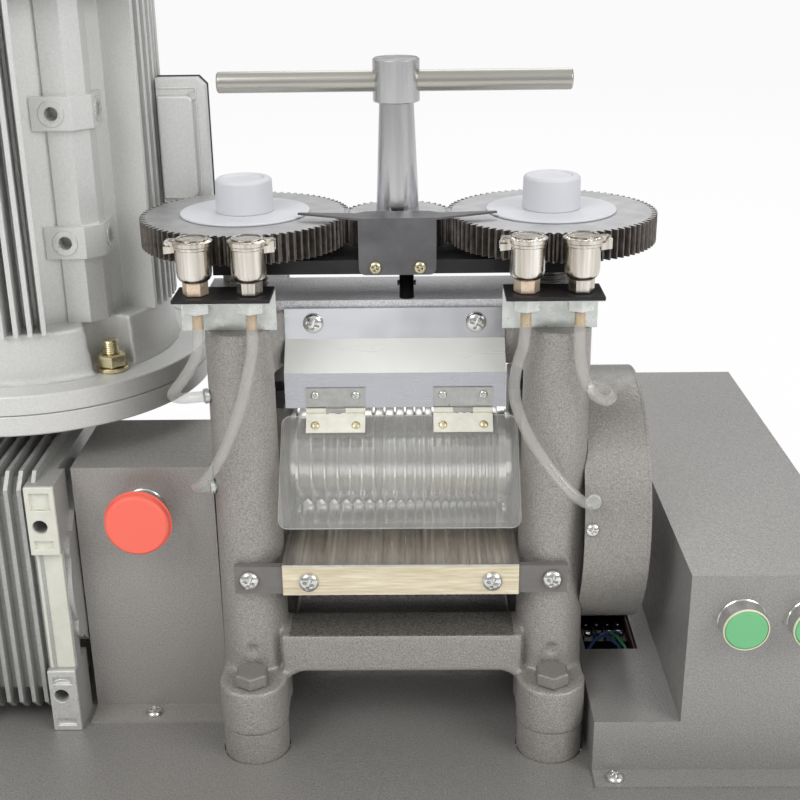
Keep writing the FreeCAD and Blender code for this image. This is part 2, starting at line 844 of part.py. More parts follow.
def dial(side):
    """White dial disc and the plain round cap that covers the end of the screw."""
    centre = vec(side * side_x, 0, 0)
    disc = rod(Z_AXIS, (centre.x, 0, gear_top), dial_r, dial_thickness)
    low, high = gear_top + dial_thickness, gear_top + dial_thickness + knob_height
    lip = 1.6
    profile = [(low, 0), (low, knob_r), (high - lip, knob_r - 0.4), (high, knob_r - 0.4 - lip),
               (high, knob_r - 5.0), (high - 1.0, knob_r - 5.6), (high - 1.0, 0)]
    return group([disc, turned(profile, centre, Z_AXIS, X_AXIS)])


def bridge_bar():
    """Bar under the gears that keeps screws and pinion at one height, with its guide rod."""
    bar = box(about(0, bridge_half_x), (bridge_front, bridge_back), (bridge_bottom, bridge_top))
    screw_hole_r = screw_r + running_clearance
    holes = [rod(Z_AXIS, (x, 0, bridge_bottom - 1), screw_hole_r, 20) for x in about(0, side_x)]
    holes.append(rod(Z_AXIS, (0, 0, bridge_bottom - 1), spindle_r + running_clearance, 20))
    x, y = guide_rod_at
    holes.append(rod(Z_AXIS, (x, y, bridge_bottom - 1), guide_rod_r, 20))
    for screw_x in about(0, cover_screw_x):
        seat = (screw_x, bridge_front - 1, cover_screw_z)
        holes.append(rod(Y_AXIS, seat, panel_shank_r, 8))
    low = window_high + 9.0
    guide = rod(Z_AXIS, (x, y, low), guide_rod_r, bridge_top - low)
    pin = rod(X_AXIS, (x - guide_rod_r - 1.2, y, cap_plate_top + 9.0), 1.5, 2 * guide_rod_r + 2.4)
    return group([bar.cut(holes), join([guide, pin])])


def pointer_cover():
    """Folded cover plate in front of the pinion, with a pointer over each dial."""
    low, high = bridge_bottom - pointer_drop, gear_top + pointer_rise
    face_y = (bridge_front - pointer_sheet, bridge_front)
    front = box(about(0, pointer_half_x), face_y, (low, high))
    tip_x, tip_y = pointer_tip
    outline = [(-pointer_half_x, face_y[0]), (pointer_half_x, face_y[0]), (tip_x, tip_y),
               (tip_x - 1.0, tip_y + 1.6), (pointer_half_x + 2.0, tip_y - 2.0),
               (pointer_half_x - 4.0, tip_y + 3.0), (-pointer_half_x + 4.0, tip_y + 3.0),
               (-pointer_half_x - 2.0, tip_y - 2.0), (-tip_x + 1.0, tip_y + 1.6), (-tip_x, tip_y)]
    top = prism([(x, y, high - pointer_sheet) for x, y in outline], vec(0, 0, pointer_sheet))
    holes = [rod(Y_AXIS, (side * cover_screw_x, face_y[0] - 1, cover_screw_z), panel_shank_r, 4)
             for side in (-1, 1)]
    edges = [corner for corner in front.Edges if abs(corner.BoundBox.ZMax - low) < 0.01
             and corner.BoundBox.YLength > 1.0]
    cover = join([front.makeFillet(4.0, edges), top]).cut(holes)
    seats = [(side * cover_screw_x, face_y[0], cover_screw_z) for side in (-1, 1)]
    screws = [pan_screw(Y_AXIS * -1, seat, 3.5, panel_shank_r, 7.0) for seat in seats]
    return group([cover] + screws)


def handle_column():
    """Pinion spindle and tapered column with the round head that holds the tee bar."""
    foot = bridge_bottom - 5.5
    head_low, head_high = handle_head_bottom, handle_head_bottom + handle_head_height
    profile = [(foot, 0), (foot, spindle_collar_r), (bridge_bottom - 0.3, spindle_collar_r),
               (bridge_bottom - 0.3, spindle_r), (gear_top, spindle_r), (gear_top, handle_foot_r),
               (head_low, handle_neck_r), (head_low, handle_head_r - 0.6),
               (head_low + 0.6, handle_head_r), (head_high - 1.2, handle_head_r),
               (head_high, handle_head_r - 1.2), (head_high, 0)]
    column = turned(profile, vec(0, 0, 0), Z_AXIS, X_AXIS)
    return column.cut(rod(X_AXIS, (-30, 0, t_bar_z()), t_bar_r, 60))


def t_bar_z():
    return handle_head_bottom + handle_head_height * 0.47


def t_bar():
    half, bevel = t_bar_length / 2.0, 0.9
    profile = [(-half, 0), (-half, t_bar_r - bevel), (-half + bevel, t_bar_r),
               (half - bevel, t_bar_r), (half, t_bar_r - bevel), (half, 0)]
    return turned(profile, vec(t_bar_shift, 0, t_bar_z()), X_AXIS, Z_AXIS)


def pinion():
    gear = flat_gear(0.0, pinion_teeth, 180.0 + 180.0 / pinion_teeth, spindle_r)
    hub_low = bridge_top + gear_hub_gap
    hub = tube(Z_AXIS, (0, 0, hub_low), spindle_r + 7.0, spindle_r, gear_bottom - hub_low)
    return join([gear, hub])


# ---------------------------------------------------------------- guard, visor and feed table
def guard_plate():
    """Bent guard over the upper roll: flat flange, outward step, lower flange."""
    back, front = -beam_half, -beam_half - guard_step
    top, mid = frame_top + guard_rise, frame_top - guard_upper_drop
    low, bottom = frame_top - guard_lower_drop, frame_top - guard_drop
    t = guard_sheet
    outline = [(back, top), (back, mid), (front, low), (front, bottom), (front - t, bottom),
               (front - t, low + t * 0.4), (back - t, mid + t * 0.4), (back - t, top)]
    left = guard_middle - guard_half_x
    plate = prism([(left, y, z) for y, z in outline], vec(2 * guard_half_x, 0, 0))
    return plate.cut([rod(Y_AXIS, seat, front_shank_r, 10) for seat in front_seats()])


def table_bar():
    back = bar_back()
    bar = box(about(0, table_bar_half_x), (back - table_bar_thickness, back), bar_z)
    return bar.cut([rod(Y_AXIS, seat, front_shank_r, front_shank) for seat in front_seats()])


def feed_table():
    """Polished table plate with the lip that hangs over the bar."""
    front = bar_back() - table_bar_thickness
    top = bed_top + table_height
    z = (top - table_sheet, top)
    shoulder = -keeper_half - 0.7
    plate = box(about(0, table_half_x), (front - table_sheet, shoulder), z)
    tongue = box(about(0, side_x - chock_half_x - 0.4), (shoulder - 1.0, table_back), z)
    lip_z = (top - table_sheet - lip_depth, top)
    lip = box(about(0, table_half_x), (front - table_sheet, front), lip_z)
    holes = [rod(Y_AXIS, seat, front_shank_r, front_shank) for seat in front_seats()]
    return join([plate, tongue, lip]).cut(holes)


def pan_screws():
    """Pan screws of guard, table, bar, brackets, gear housing and the flanges on the bed."""
    screws = [pan_screw(Y_AXIS * -1, seat, front_head_r, front_shank_r, front_shank)
              for seat in front_seats()]
    bracket_shank = panel_shank + bracket_sheet - 0.5
    for x in (left_bracket_x, right_bracket_x):
        seat = (x, bracket_screw_y, frame_top + bracket_sheet)
        screws.append(pan_screw(Z_AXIS, seat, panel_head_r, panel_shank_r, bracket_shank))
    seat = clamp_seat()
    screws.append(pan_screw(clamp_out(), (seat.x, seat.y, seat.z), clamp_head_r, panel_shank_r, 4.0))
    screws += [pan_screw(Z_AXIS, seat, panel_head_r, panel_shank_r, panel_shank)
               for seat in panel_seats()]
    return group(screws)


def hinge_leaf_pair(side, outward):
    """Leaf below or above the visor's hinge line, with its share of the knuckles."""
    y, z = hinge_axis
    x = side * hinge_x
    third = hinge_width / 3.0
    plate_low = z + hinge_knuckle_r + 0.3 if outward > 0 else z - hinge_leaf
    plate_high = z + hinge_leaf if outward > 0 else z - hinge_knuckle_r - 0.3
    sheet_y = (y + hinge_knuckle_r - hinge_sheet, y + hinge_knuckle_r)
    plate = box(about(x, hinge_width / 2.0), sheet_y, (plate_low, plate_high))
    spans = [(x - third / 2 + 0.2, x + third / 2 - 0.2)]
    if outward < 0:
        spans = [(x - hinge_width / 2, x - third / 2), (x + third / 2, x + hinge_width / 2)]
    knuckles = []
    for low, high in spans:
        knuckles.append(rod(X_AXIS, (low, y, z), hinge_knuckle_r, high - low))
        stem = (z, plate_low + 0.5) if outward > 0 else (plate_high - 0.5, z)
        knuckles.append(box((low, high), sheet_y, stem))
    bore_r = hinge_pin_r if outward > 0 else hinge_pin_r + running_clearance
    leaf = join([plate] + knuckles)
    return leaf.cut(rod(X_AXIS, (x - hinge_width, y, z), bore_r, 2 * hinge_width))


def hinge_screw_seats(side, outward):
    y, z = hinge_axis
    seat_y = y + hinge_knuckle_r - hinge_sheet
    middle = z + outward * (hinge_leaf + hinge_knuckle_r) * 0.6
    return [(x, seat_y, middle) for x in about(side * hinge_x, hinge_screw_half)]


def hinge_fixed():
    """Upper leaves with their pins and screws, on the guard's lower flange."""
    y, z = hinge_axis
    parts = []
    for side in (-1, 1):
        seats = hinge_screw_seats(side, 1)
        holes = [rod(Y_AXIS, seat, 1.2, 5) for seat in seats]
        parts.append(hinge_leaf_pair(side, 1).cut(holes))
        pin_start = (side * hinge_x - hinge_width / 2, y, z)
        parts.append(rod(X_AXIS, pin_start, hinge_pin_r, hinge_width))
        parts += [pan_screw(Y_AXIS * -1, seat, 2.2, 1.2, hinge_sheet) for seat in seats]
    return group(parts)


def leaned(shape):
    """Visor part turned from hanging straight down to its resting lean."""
    y, z = hinge_axis
    shape.rotate(vec(0, y, z), X_AXIS, -visor_lean)
    return shape


def visor_hinges():
    """Lower leaves and their screws, which swing with the visor."""
    parts = []
    for side in (-1, 1):
        seats = hinge_screw_seats(side, -1)
        holes = [rod(Y_AXIS, seat, 1.2, 5) for seat in seats]
        parts.append(leaned(hinge_leaf_pair(side, -1).cut(holes)))
        parts += [leaned(pan_screw(Y_AXIS * -1, seat, 2.2, 1.2, hinge_sheet)) for seat in seats]
    return group(parts)


def visor():
    """Clear shield, hung behind the lower hinge leaves."""
    y, z = hinge_axis
    top, near = z - hinge_knuckle_r - 0.6, y + hinge_knuckle_r
    sheet = box(about(0, visor_half_x), (near, near + visor_sheet), (top - visor_length, top))
    edges = [edge for edge in sheet.Edges if edge.BoundBox.YLength > visor_sheet - 0.01
             and edge.BoundBox.XLength < 0.01 and edge.BoundBox.ZLength < 0.01]
    return leaned(sheet.makeFillet(visor_corner_r, edges))


# ---------------------------------------------------------------- oil cups, brackets and hoses
def cup_places():
    """Centre x of each oil cup and the side its lid is hinged on."""
    places = []
    for x in (left_bracket_x, right_bracket_x):
        for side in (-1, 1):
            places.append((x + side * cup_pitch / 2.0, side))
    return places


def oil_brackets():
    """Bent strips on the column tops: foot, upright and forward shelf for two cups."""
    brackets = []
    for x in (left_bracket_x, right_bracket_x):
        span = about(x, bracket_half_x)
        foot = box(about(x, 14.0), (bracket_back - bracket_sheet, bracket_back + 20.0),
                   (frame_top, frame_top + bracket_sheet))
        upright = box(span, (bracket_back - bracket_sheet, bracket_back), (frame_top, shelf_top))
        shelf = box(span, (bracket_front, bracket_back), (shelf_top - bracket_sheet, shelf_top))
        holes = [rod(Z_AXIS, (x + side * cup_pitch / 2.0, cup_y, shelf_top - 10), cup_stem_r, 20)
                 for side in (-1, 1)]
        holes.append(rod(Z_AXIS, (x, bracket_screw_y, frame_top - 1), panel_shank_r, 10))
        brackets.append(join([foot, upright, shelf]).cut(holes))
    return group(brackets)


def oil_cups():
    """Cup bodies: threaded stem, hexagon, hollow barrel and a slotted hinge lug."""
    base = shelf_top
    cups = []
    for x, side in cup_places():
        centre = vec(x, cup_y, 0)
        barrel_low, rim = base + cup_hex_height, base + cup_height
        hexa = hexagon(Z_AXIS, (x, cup_y, base), cup_hex_flats, cup_hex_height)
        stem = rod(Z_AXIS, (x, cup_y, stem_foot), cup_stem_r, base - stem_foot + 1)
        inner = cup_r - cup_wall
        profile = [(barrel_low, 0), (barrel_low, cup_r - 1.4), (barrel_low + 1.4, cup_r),
                   (rim - 1.5, cup_r), (rim - 1.5, cup_r + 0.7), (rim, cup_r + 0.7), (rim, inner),
                   (barrel_low + 3.0, inner), (barrel_low + 3.0, 0)]
        barrel = turned(profile, centre, Z_AXIS, X_AXIS)
        pin_x = x + side * lid_hinge_reach
        lug_x_span = tuple(sorted((x + side * (cup_r - 0.4), pin_x + side * 2.0)))
        lug = box(lug_x_span, about(cup_y, 4.2), (rim - 4.0, lid_hinge_z() + 1.4))
        slot_x_span = tuple(sorted((x + side * (cup_r + 0.8), pin_x + side * 9.0)))
        slot = box(slot_x_span, about(cup_y, 2.5), (rim - 2.6, rim + 9.0))
        mouth = rod(Z_AXIS, (x, cup_y, rim), lid_r + 0.6, 9.0)
        lug = lug.cut([slot, mouth, rod(Y_AXIS, (pin_x, cup_y - 9, lid_hinge_z()), lid_pin_r, 18)])
        cups.append(join([hexa, stem, barrel, lug]))
        cups.append(rod(Y_AXIS, (pin_x, cup_y - 4.6, lid_hinge_z()), lid_pin_r, 9.2))
    return group(cups)


def lid_hinge_z():
    return shelf_top + cup_height + 1.6


def oil_lid(index):
    """Flip lid with the ear that turns on the cup's hinge pin."""
    x, side = cup_places()[index]
    rim = shelf_top + cup_height + 0.3
    top = rim + lid_thickness
    pin_x = x + side * lid_hinge_reach
    profile = [(rim, 0), (rim, lid_r), (top - 1.2, lid_r), (top, lid_r - 2.2), (top, 0)]
    disc = turned(profile, vec(x, cup_y, 0), Z_AXIS, X_AXIS)
    ear_x_span = tuple(sorted((x + side * (lid_r - 2.0), pin_x)))
    ear = box(ear_x_span, about(cup_y, 2.2), (rim, lid_hinge_z() + 1.7))
    knuckle = rod(Y_AXIS, (pin_x, cup_y - 2.2, lid_hinge_z()), 1.9, 4.4)
    bore = rod(Y_AXIS, (pin_x, cup_y - 9, lid_hinge_z()), lid_pin_r + running_clearance, 18)
    return join([disc, ear, knuckle]).cut(bore)


def oil_fittings():
    """Nuts and brass barbs under the shelves, and the ports where the hoses end."""
    parts = []
    for x, _ in cup_places():
        nut = hexagon(Z_AXIS, (x, cup_y, stem_foot), fitting_nut_flats, fitting_nut_height)
        parts.append(nut.cut(rod(Z_AXIS, (x, cup_y, stem_foot - 10), cup_stem_r, 40)))
        parts.append(rod(Z_AXIS, (x, cup_y, stem_foot - barb_length), barb_r, barb_length))
    for mouth, inward in oil_ports():
        shank = Part.makeCylinder(port_r, port_depth, mouth, inward)
        collar = Part.makeCylinder(port_collar_r, port_collar, mouth - inward * port_collar, inward)
        parts.append(join([shank, collar]))
    out, foot = housing_port()
    rise = drum_wall + housing_port_rise
    end = foot + out * rise
    parts.append(join([Part.makeCylinder(port_r, rise, foot, out),
                       Part.makeCylinder(port_collar_r, port_collar, end, out)]))
    return group(parts)


def hose_routes():
    """Points of each hose; heights of its bends are shares of the drop to its port."""
    ports = [(mouth - inward * port_collar, inward * -1) for mouth, inward in oil_ports()]
    out, foot = housing_port()
    ports.insert(2, (foot + out * (drum_wall + housing_port_rise + port_collar), out))
    bends = [
        [(-114.6, -81.6, 0.422), (-120.4, -82.6, 0.609), (-126.4, -81.8, 0.770), (-129.8, -77.1, 0.896),
         (-126.2, -70.8, 0.978)],
        [(-82.8, -82.6, 0.192), (-85.4, -85.2, 0.298), (-88.6, -87.2, 0.410), (-92.6, -88.4, 0.521),
         (-97.4, -88.8, 0.631), (-103.0, -88.4, 0.737), (-108.6, -86.6, 0.823), (-113.6, -83.4, 0.887),
         (-117.8, -79.2, 0.927), (-120.8, -74.2, 0.958), (-121.0, -70.0, 0.985)],
        [(67.6, -82.0, 0.174), (65.2, -84.4, 0.285), (66.2, -86.4, 0.400), (70.6, -88.0, 0.514),
         (77.0, -89.2, 0.624), (84.6, -90.6, 0.729), (93.0, -92.2, 0.826), (101.6, -93.4, 0.909),
         (108.4, -91.8, 0.957), (112.8, -87.8, 0.975)],
        [(102.4, -81.4, 0.474), (105.2, -82.8, 0.730), (110.2, -83.2, 0.921), (116.2, -81.6, 1.033),
         (121.0, -78.4, 1.047), (122.5, -73.1, 1.033), (120.2, -68.3, 1.009)],
    ]
    routes = []
    for (cup_x, _), (end, outward), points in zip(cup_places(), ports, bends):
        start = vec(cup_x, cup_y, stem_foot - barb_length)
        drop = end.z - start.z
        middle = [vec(x, y, start.z + drop * share) for x, y, share in points]
        first, last = start - Z_AXIS * hose_lead, end + outward * hose_tail
        routes.append([start, first] + middle + [last, end])
    return routes


# ---------------------------------------------------------------- coupling cover and emergency stop
def bed_cover(x, y, height, sheet):
    """Outside of a sheet cover standing on the bed, and the space inside it."""
    inner_x, inner_y = (x[0] + sheet, x[1] - sheet), (y[0] + sheet, y[1] - sheet)
    inner = box(inner_x, inner_y, (bed_top - 1, bed_top + height - sheet))
    return box(x, y, (bed_top, bed_top + height)), inner


def bed_flanges(x, y, width, sheet):
    """Flanges along the front and back of a cover, lying on the bed."""
    z = (bed_top, bed_top + sheet)
    return [box(x, (y[0] - width, y[0] + sheet), z), box(x, (y[1] - sheet, y[1] + width), z)]


def coupling_box():
    x, y = (box_left, box_right), about(0, box_half_y)
    outer, inner = bed_cover(x, y, box_height, box_sheet)
    cover = join([outer.cut(inner)] + bed_flanges(x, y, box_flange, box_sheet))
    tools = [rod(X_AXIS, (box_left - 1, 0, lower_axis), neck_opening_r, 4),
             rod(X_AXIS, (box_right - 4, 0, lower_axis), shaft_opening_r, 8),
             rod(Y_AXIS, (estop_x, -box_half_y - 1, bed_top + estop_height), push_hole_r, 5)]
    tools += [rod(Z_AXIS, (x, y, bed_top - 1), panel_shank_r, 5) for x, y, z in panel_seats()]
    return cover.cut(tools)


def estop_button():
    """Mushroom head, its rim disc and the stem through the panel."""
    z = bed_top + estop_height
    front = estop_front
    profile = [(0, 0), (0, estop_r - 2.0), (1.2, estop_r - 0.5), (3.0, estop_r), (5.6, estop_r),
               (5.6, estop_r + 0.8), (6.8, estop_r + 0.8), (6.8, estop_r - 5.0), (9.0, 9.0),
               (36.0, 9.0), (36.0, 0)]
    return turned(profile, vec(estop_x, front, z), Y_AXIS, Z_AXIS)


def button_collars():
    """Chrome collars of the three push buttons, each clamped in its panel hole."""
    z = bed_top + estop_height
    collar = tube(Y_AXIS, (estop_x, -box_half_y - 14.0, z), 15.0, 9.2, 14.0)
    thread = tube(Y_AXIS, (estop_x, -box_half_y, z), push_hole_r, 9.2, 12.0)
    collars = [join([collar, thread])]
    for x in button_x:
        height = bed_top + button_height
        rim = (x, console_front - bezel_depth, height)
        ring = tube(Y_AXIS, rim, bezel_r, button_r + 0.2, bezel_depth)
        floor = tube(Y_AXIS, (x, console_front - 2.0, height), bezel_r, 8.2, 2.0)
        neck = tube(Y_AXIS, (x, console_front, height), push_hole_r, 8.2, 12.0)
        collars.append(join([ring, floor, neck]))
    return group(collars)


def push_button(x):
    z = bed_top + button_height
    front = console_front - bezel_depth - 0.8
    profile = [(0, 0), (0, button_r - 0.8), (0.8, button_r), (5.0, button_r), (5.0, 8.0),
               (26.0, 8.0), (26.0, 0)]
    return turned(profile, vec(x, front, z), Y_AXIS, Z_AXIS)


# ---------------------------------------------------------------- reducer and motor
def fin_outline(inset):
    """Corners (y, z) of the reducer body with bevelled corners."""
    y0, y1 = reducer_front + inset, reducer_back - inset
    z0, z1 = bed_top + reducer_low + inset, bed_top + reducer_high - inset
    c = 9.0
    return [(y0 + c, z0), (y1 - c, z0), (y1, z0 + c), (y1, z1 - c), (y1 - c, z1), (y0 + c, z1),
            (y0, z1 - c), (y0, z0 + c)]


def case_slab(x_low, x_high, inset):
    """Slice of the reducer case between two x values."""
    return prism([(x_low, y, z) for y, z in fin_outline(inset)], vec(x_high - x_low, 0, 0))


def reducer_side(side):
    """Lobed bearing cover, front lugs and foot pads on one side of the case."""
    face = reducer_x + side * reducer_half_core
    x_low, x_high = sorted((face - side, face + side * side_cover_depth))
    parts = [rod(X_AXIS, (x_low, 0, lower_axis), side_cover_r, x_high - x_low)]
    for i in range(6):
        a = math.radians(60.0 * i + 30.0)
        lobe = (x_low, cover_lobe_at * math.cos(a), lower_axis + cover_lobe_at * math.sin(a))
        parts.append(rod(X_AXIS, lobe, cover_lobe_r, x_high - x_low))
    pad_x = tuple(sorted((reducer_x + side * lug_x[0], reducer_x + side * lug_x[1])))
    for low, high in (lug_low, lug_high):
        lug_y = (reducer_front, reducer_front + lug_depth)
        parts.append(box(pad_x, lug_y, (bed_top + low, bed_top + high)))
    rib_z = (bed_top + reducer_low, bed_top + lug_high[1])
    parts.append(box(pad_x, (reducer_front + 4.0, reducer_front + 14.0), rib_z))
    foot_z = (bed_top, bed_top + reducer_low + 12.0)
    parts.append(box(pad_x, (reducer_back - 34.0, reducer_back - 4.0), foot_z))
    return parts


def reducer_housing():
    """Finned gear case: body, side covers, foot pads, and cavities for worm and wheel."""
    parts = [case_slab(reducer_x - reducer_half_core, reducer_x + reducer_half_core, 9.0)]
    count = int(2 * (reducer_half_core - 5.0) / reducer_fin_pitch)
    for i in range(count + 1):
        x = reducer_x + (i - count / 2.0) * reducer_fin_pitch
        parts.append(case_slab(x - reducer_fin / 2.0, x + reducer_fin / 2.0, 2.0))
    for side in (-1, 1):
        parts += reducer_side(side)
    neck_foot, neck_top = bed_top + reducer_high - 20.0, bed_top + adapter_bottom
    parts.append(rod(Z_AXIS, (reducer_x, motor_y, neck_foot), 36.0, neck_top - neck_foot))
    case = join(parts)
    wheel_half = wheel_face / 2.0 + 3.0
    shaft_r = output_r + running_clearance
    worm_depth = worm_half + worm_shaft_end + 4.0
    worm_bore_r = worm_tip_r + 2.5
    motor_bore = motor_shaft_r + running_clearance
    through = reducer_half_x + 1.0
    tools = [rod(X_AXIS, (reducer_x - wheel_half, 0, lower_axis), wheel_tip_r + 2.5, 2 * wheel_half),
             rod(X_AXIS, (reducer_x - through, 0, lower_axis), shaft_r, 2 * through),
             rod(Z_AXIS, (reducer_x, motor_y, lower_axis - worm_depth), worm_bore_r, 2 * worm_depth),
             rod(Z_AXIS, (reducer_x, motor_y, lower_axis), motor_bore, neck_top - lower_axis + 1)]
    for x in about(reducer_x, lug_hole_x):
        for height in lug_hole_heights:
            mouth = (x, reducer_front - 1, bed_top + height)
            tools.append(rod(Y_AXIS, mouth, lug_hole_r, lug_hole_depth))
    return case.cut(tools)


def motor_rotor():
    """Motor shaft with rotor and ring worm in one piece, and the fan on its upper end."""
    low = lower_axis - worm_half
    foot = low - worm_shaft_end
    profile = [(foot, 0), (foot, motor_shaft_r), (low, motor_shaft_r)]
    z = low
    while z + worm_pitch <= lower_axis + worm_half:
        profile += [(z, worm_root_r), (z + worm_pitch * 0.3, worm_tip_r),
                    (z + worm_pitch * 0.6, worm_tip_r)]
        z += worm_pitch
    core_low = bed_top + motor_fins_bottom + rotor_low_margin
    core_high = bed_top + motor_body_top - rotor_high_margin
    core_r = motor_bore_r - rotor_clearance
    shaft_top = fan_low + fan_height + 4.0
    profile += [(z, worm_root_r), (z, motor_shaft_r), (core_low, motor_shaft_r),
                (core_low, core_r), (core_high, core_r), (core_high, motor_shaft_r),
                (shaft_top, motor_shaft_r), (shaft_top, 0)]
    shaft = turned(profile, vec(reducer_x, motor_y, 0), Z_AXIS, X_AXIS)
    return group([shaft, cooling_fan()])


def cooling_fan():
    """Plastic fan: hub disc with straight blades."""
    centre = (reducer_x, motor_y, fan_low)
    hub = rod(Z_AXIS, centre, fan_hub_r, fan_height)
    disc = rod(Z_AXIS, centre, fan_r, fan_disc)
    blades = []
    for i in range(fan_blades):
        span = (fan_hub_r - 2.0, fan_r - 2.0)
        height = (fan_low + fan_disc - 1, fan_low + fan_height)
        blade = box(span, about(0, fan_blade / 2.0), height)
        blade.rotate(vec(0, 0, 0), Z_AXIS, 360.0 * i / fan_blades)
        blade.translate(vec(reducer_x, motor_y, 0))
        blades.append(blade)
    bore = rod(Z_AXIS, (reducer_x, motor_y, fan_low - 1), motor_shaft_r, fan_height + 2)
    return join([hub, disc] + blades).cut(bore)


def drive_coupling():
    """Reducer output shaft with its wheel, and the sleeve that grips the roll's neck."""
    shaft_left, shaft_right = reducer_x - reducer_half_x, lower_neck_end - 0.5
    shaft = rod(X_AXIS, (shaft_left, 0, lower_axis), output_r, shaft_right - shaft_left)
    left, right = box_left + sleeve_gap, box_right - sleeve_gap
    sleeve = rod(X_AXIS, (left, 0, lower_axis), sleeve_r, right - left)
    shaft_bore = rod(X_AXIS, (left - 1, 0, lower_axis), output_r, lower_neck_end - left + 1)
    neck_bore = rod(X_AXIS, (lower_neck_end, 0, lower_axis), shaft_end_r, right - left)
    wheel_left = vec(reducer_x - wheel_face / 2.0, 0, lower_axis)
    module = 2.0 * (wheel_tip_r - 2.4) / (wheel_teeth + 2)
    points = gear_outline(module, wheel_teeth, 0.3, 0.0)
    wheel = bored_plate(points, wheel_left, output_r, (Y_AXIS, Z_AXIS), X_AXIS * wheel_face)
    return group([shaft, sleeve.cut([shaft_bore, neck_bore]), wheel])


def motor_flanges():
    """Reducer's motor flange below, and the motor's end shield with its bell above."""
    x, y = reducer_x, motor_y
    low, seam, top = bed_top + adapter_bottom, bed_top + adapter_top, bed_top + motor_flange_top
    adapter = rod(Z_AXIS, (x, y, low), adapter_r, seam - low)
    disc = rod(Z_AXIS, (x, y, seam), adapter_r, top - seam)
    rim = tube(Z_AXIS, (x, y, top - 1), adapter_r, adapter_r - 9.0, 1.0)
    bell_height = bed_top + motor_fins_bottom - top
    bell = Part.makeCone(motor_bell_r + 3.0, motor_bell_r, bell_height, vec(x, y, top), Z_AXIS)
    shield = join([disc, rim, bell])
    through = rod(Z_AXIS, (x, y, low - 1), motor_shaft_r + running_clearance, top + bell_height - low + 2)
    places = flange_bolt_places()
    holes = [rod(Z_AXIS, (px, py, low - 1), flange_stud_r, 60) for px, py in places]
    pockets = [rod(Z_AXIS, (px, py, top), flange_pocket_r, 40) for px, py in places]
    lower = adapter.cut([through] + holes)
    return group([lower, shield.cut([through] + holes + pockets), upper_shield()])


def flange_bolt_places():
    """Four bolts on the flange circle, one of them towards the operator's left front."""
    places = []
    for i in range(4):
        a = math.radians(flange_bolt_angle + 90.0 * i)
        x, y = flange_bolt_r * math.cos(a), flange_bolt_r * math.sin(a)
        places.append((reducer_x + x, motor_y + y))
    return places


def flange_bolts():
    """Studs through both flanges, with a washer and nut on top."""
    low, top = bed_top + adapter_bottom, bed_top + motor_flange_top
    bolts = []
    for x, y in flange_bolt_places():
        stud = rod(Z_AXIS, (x, y, low), flange_stud_r, top - low + 19.0)
        nut = hexagon(Z_AXIS, (x, y, top + 2.0), 19.0, 9.5)
        bolts.append(join([stud, nut, rod(Z_AXIS, (x, y, top), 10.4, 2.0)]))
    return group(bolts)


def turned_point(point, quarter):
    """Point (u, v) turned by a number of quarter turns."""
    a = math.radians(90.0 * quarter)
    return (point[0] * math.cos(a) - point[1] * math.sin(a),
            point[0] * math.sin(a) + point[1] * math.cos(a))


def motor_outline():
    """Points (u, v) round the finned motor housing: four fin groups, four corner rails."""
    fins = []
    for i in range(int(2 * motor_fin_spread / motor_fin_step) + 1):
        middle = i * motor_fin_step - motor_fin_spread
        for offset, radius in ((-1.6, motor_core_r), (-0.9, motor_fin_r),
                               (0.9, motor_fin_r), (1.6, motor_core_r)):
            a = math.radians(middle + offset)
            fins.append((radius * math.cos(a), radius * math.sin(a)))
    a = math.radians(motor_fin_spread + 7.0)
    beside = (motor_core_r * math.cos(a), motor_core_r * math.sin(a))
    rail = list(motor_rail) + [(v, u) for u, v in reversed(motor_rail)]
    side = fins + [beside] + rail + [(beside[1], beside[0])]
    return [turned_point(point, quarter) for quarter in range(4) for point in side]


def motor_pad(sx, height):
    """Bevelled corner block on the motor's front, and its two threaded holes."""
    inner, reach = motor_pad_inner, motor_pad_reach
    bevel = reach - motor_pad_bevel
    corners = [(inner, inner), (reach, inner), (reach, bevel), (bevel, reach), (inner, reach)]
    foot = bed_top + height - motor_pad_half
    points = [(reducer_x + sx * u, motor_y - v, foot) for u, v in corners]
    block = prism(points, vec(0, 0, 2 * motor_pad_half))
    z = bed_top + height
    front = (reducer_x + sx * motor_pad_hole, motor_y - reach - 1, z)
    flank = (reducer_x + sx * (reach + 1), motor_y - motor_pad_hole, z)
    return block, [rod(Y_AXIS, front, 4.2, 14), rod(X_AXIS * -sx, flank, 4.2, 14)]


def motor_body():
    low, high = bed_top + motor_fins_bottom, bed_top + motor_body_top
    centre = vec(reducer_x, motor_y, low)
    axes = (X_AXIS, Y_AXIS)
    body = bored_plate(motor_outline(), centre, motor_bore_r, axes, Z_AXIS * (high - low))
    pads = [motor_pad(sx, z) for sx in (-1, 1) for z in (motor_pad_low, motor_pad_high)]
    seat_x = (reducer_x + terminal_seat_x[0], reducer_x + terminal_seat_x[1])
    seat_front = terminal_front + terminal_lid + terminal_gasket
    seat = box(seat_x, (seat_front, seat_front + 78.0), about_terminal(-14.0))
    bored = rod(Z_AXIS, (reducer_x, motor_y, low - 1), motor_bore_r, high - low + 2)
    blocks = [block.cut(bored) for block in [block for block, _ in pads] + [seat]]
    return join([body] + blocks).cut([hole for _, holes in pads for hole in holes])


def about_terminal(grow):
    """Height span of the junction box, grown at both ends."""
    return (bed_top + terminal_heights[0] - grow, bed_top + terminal_heights[1] + grow)


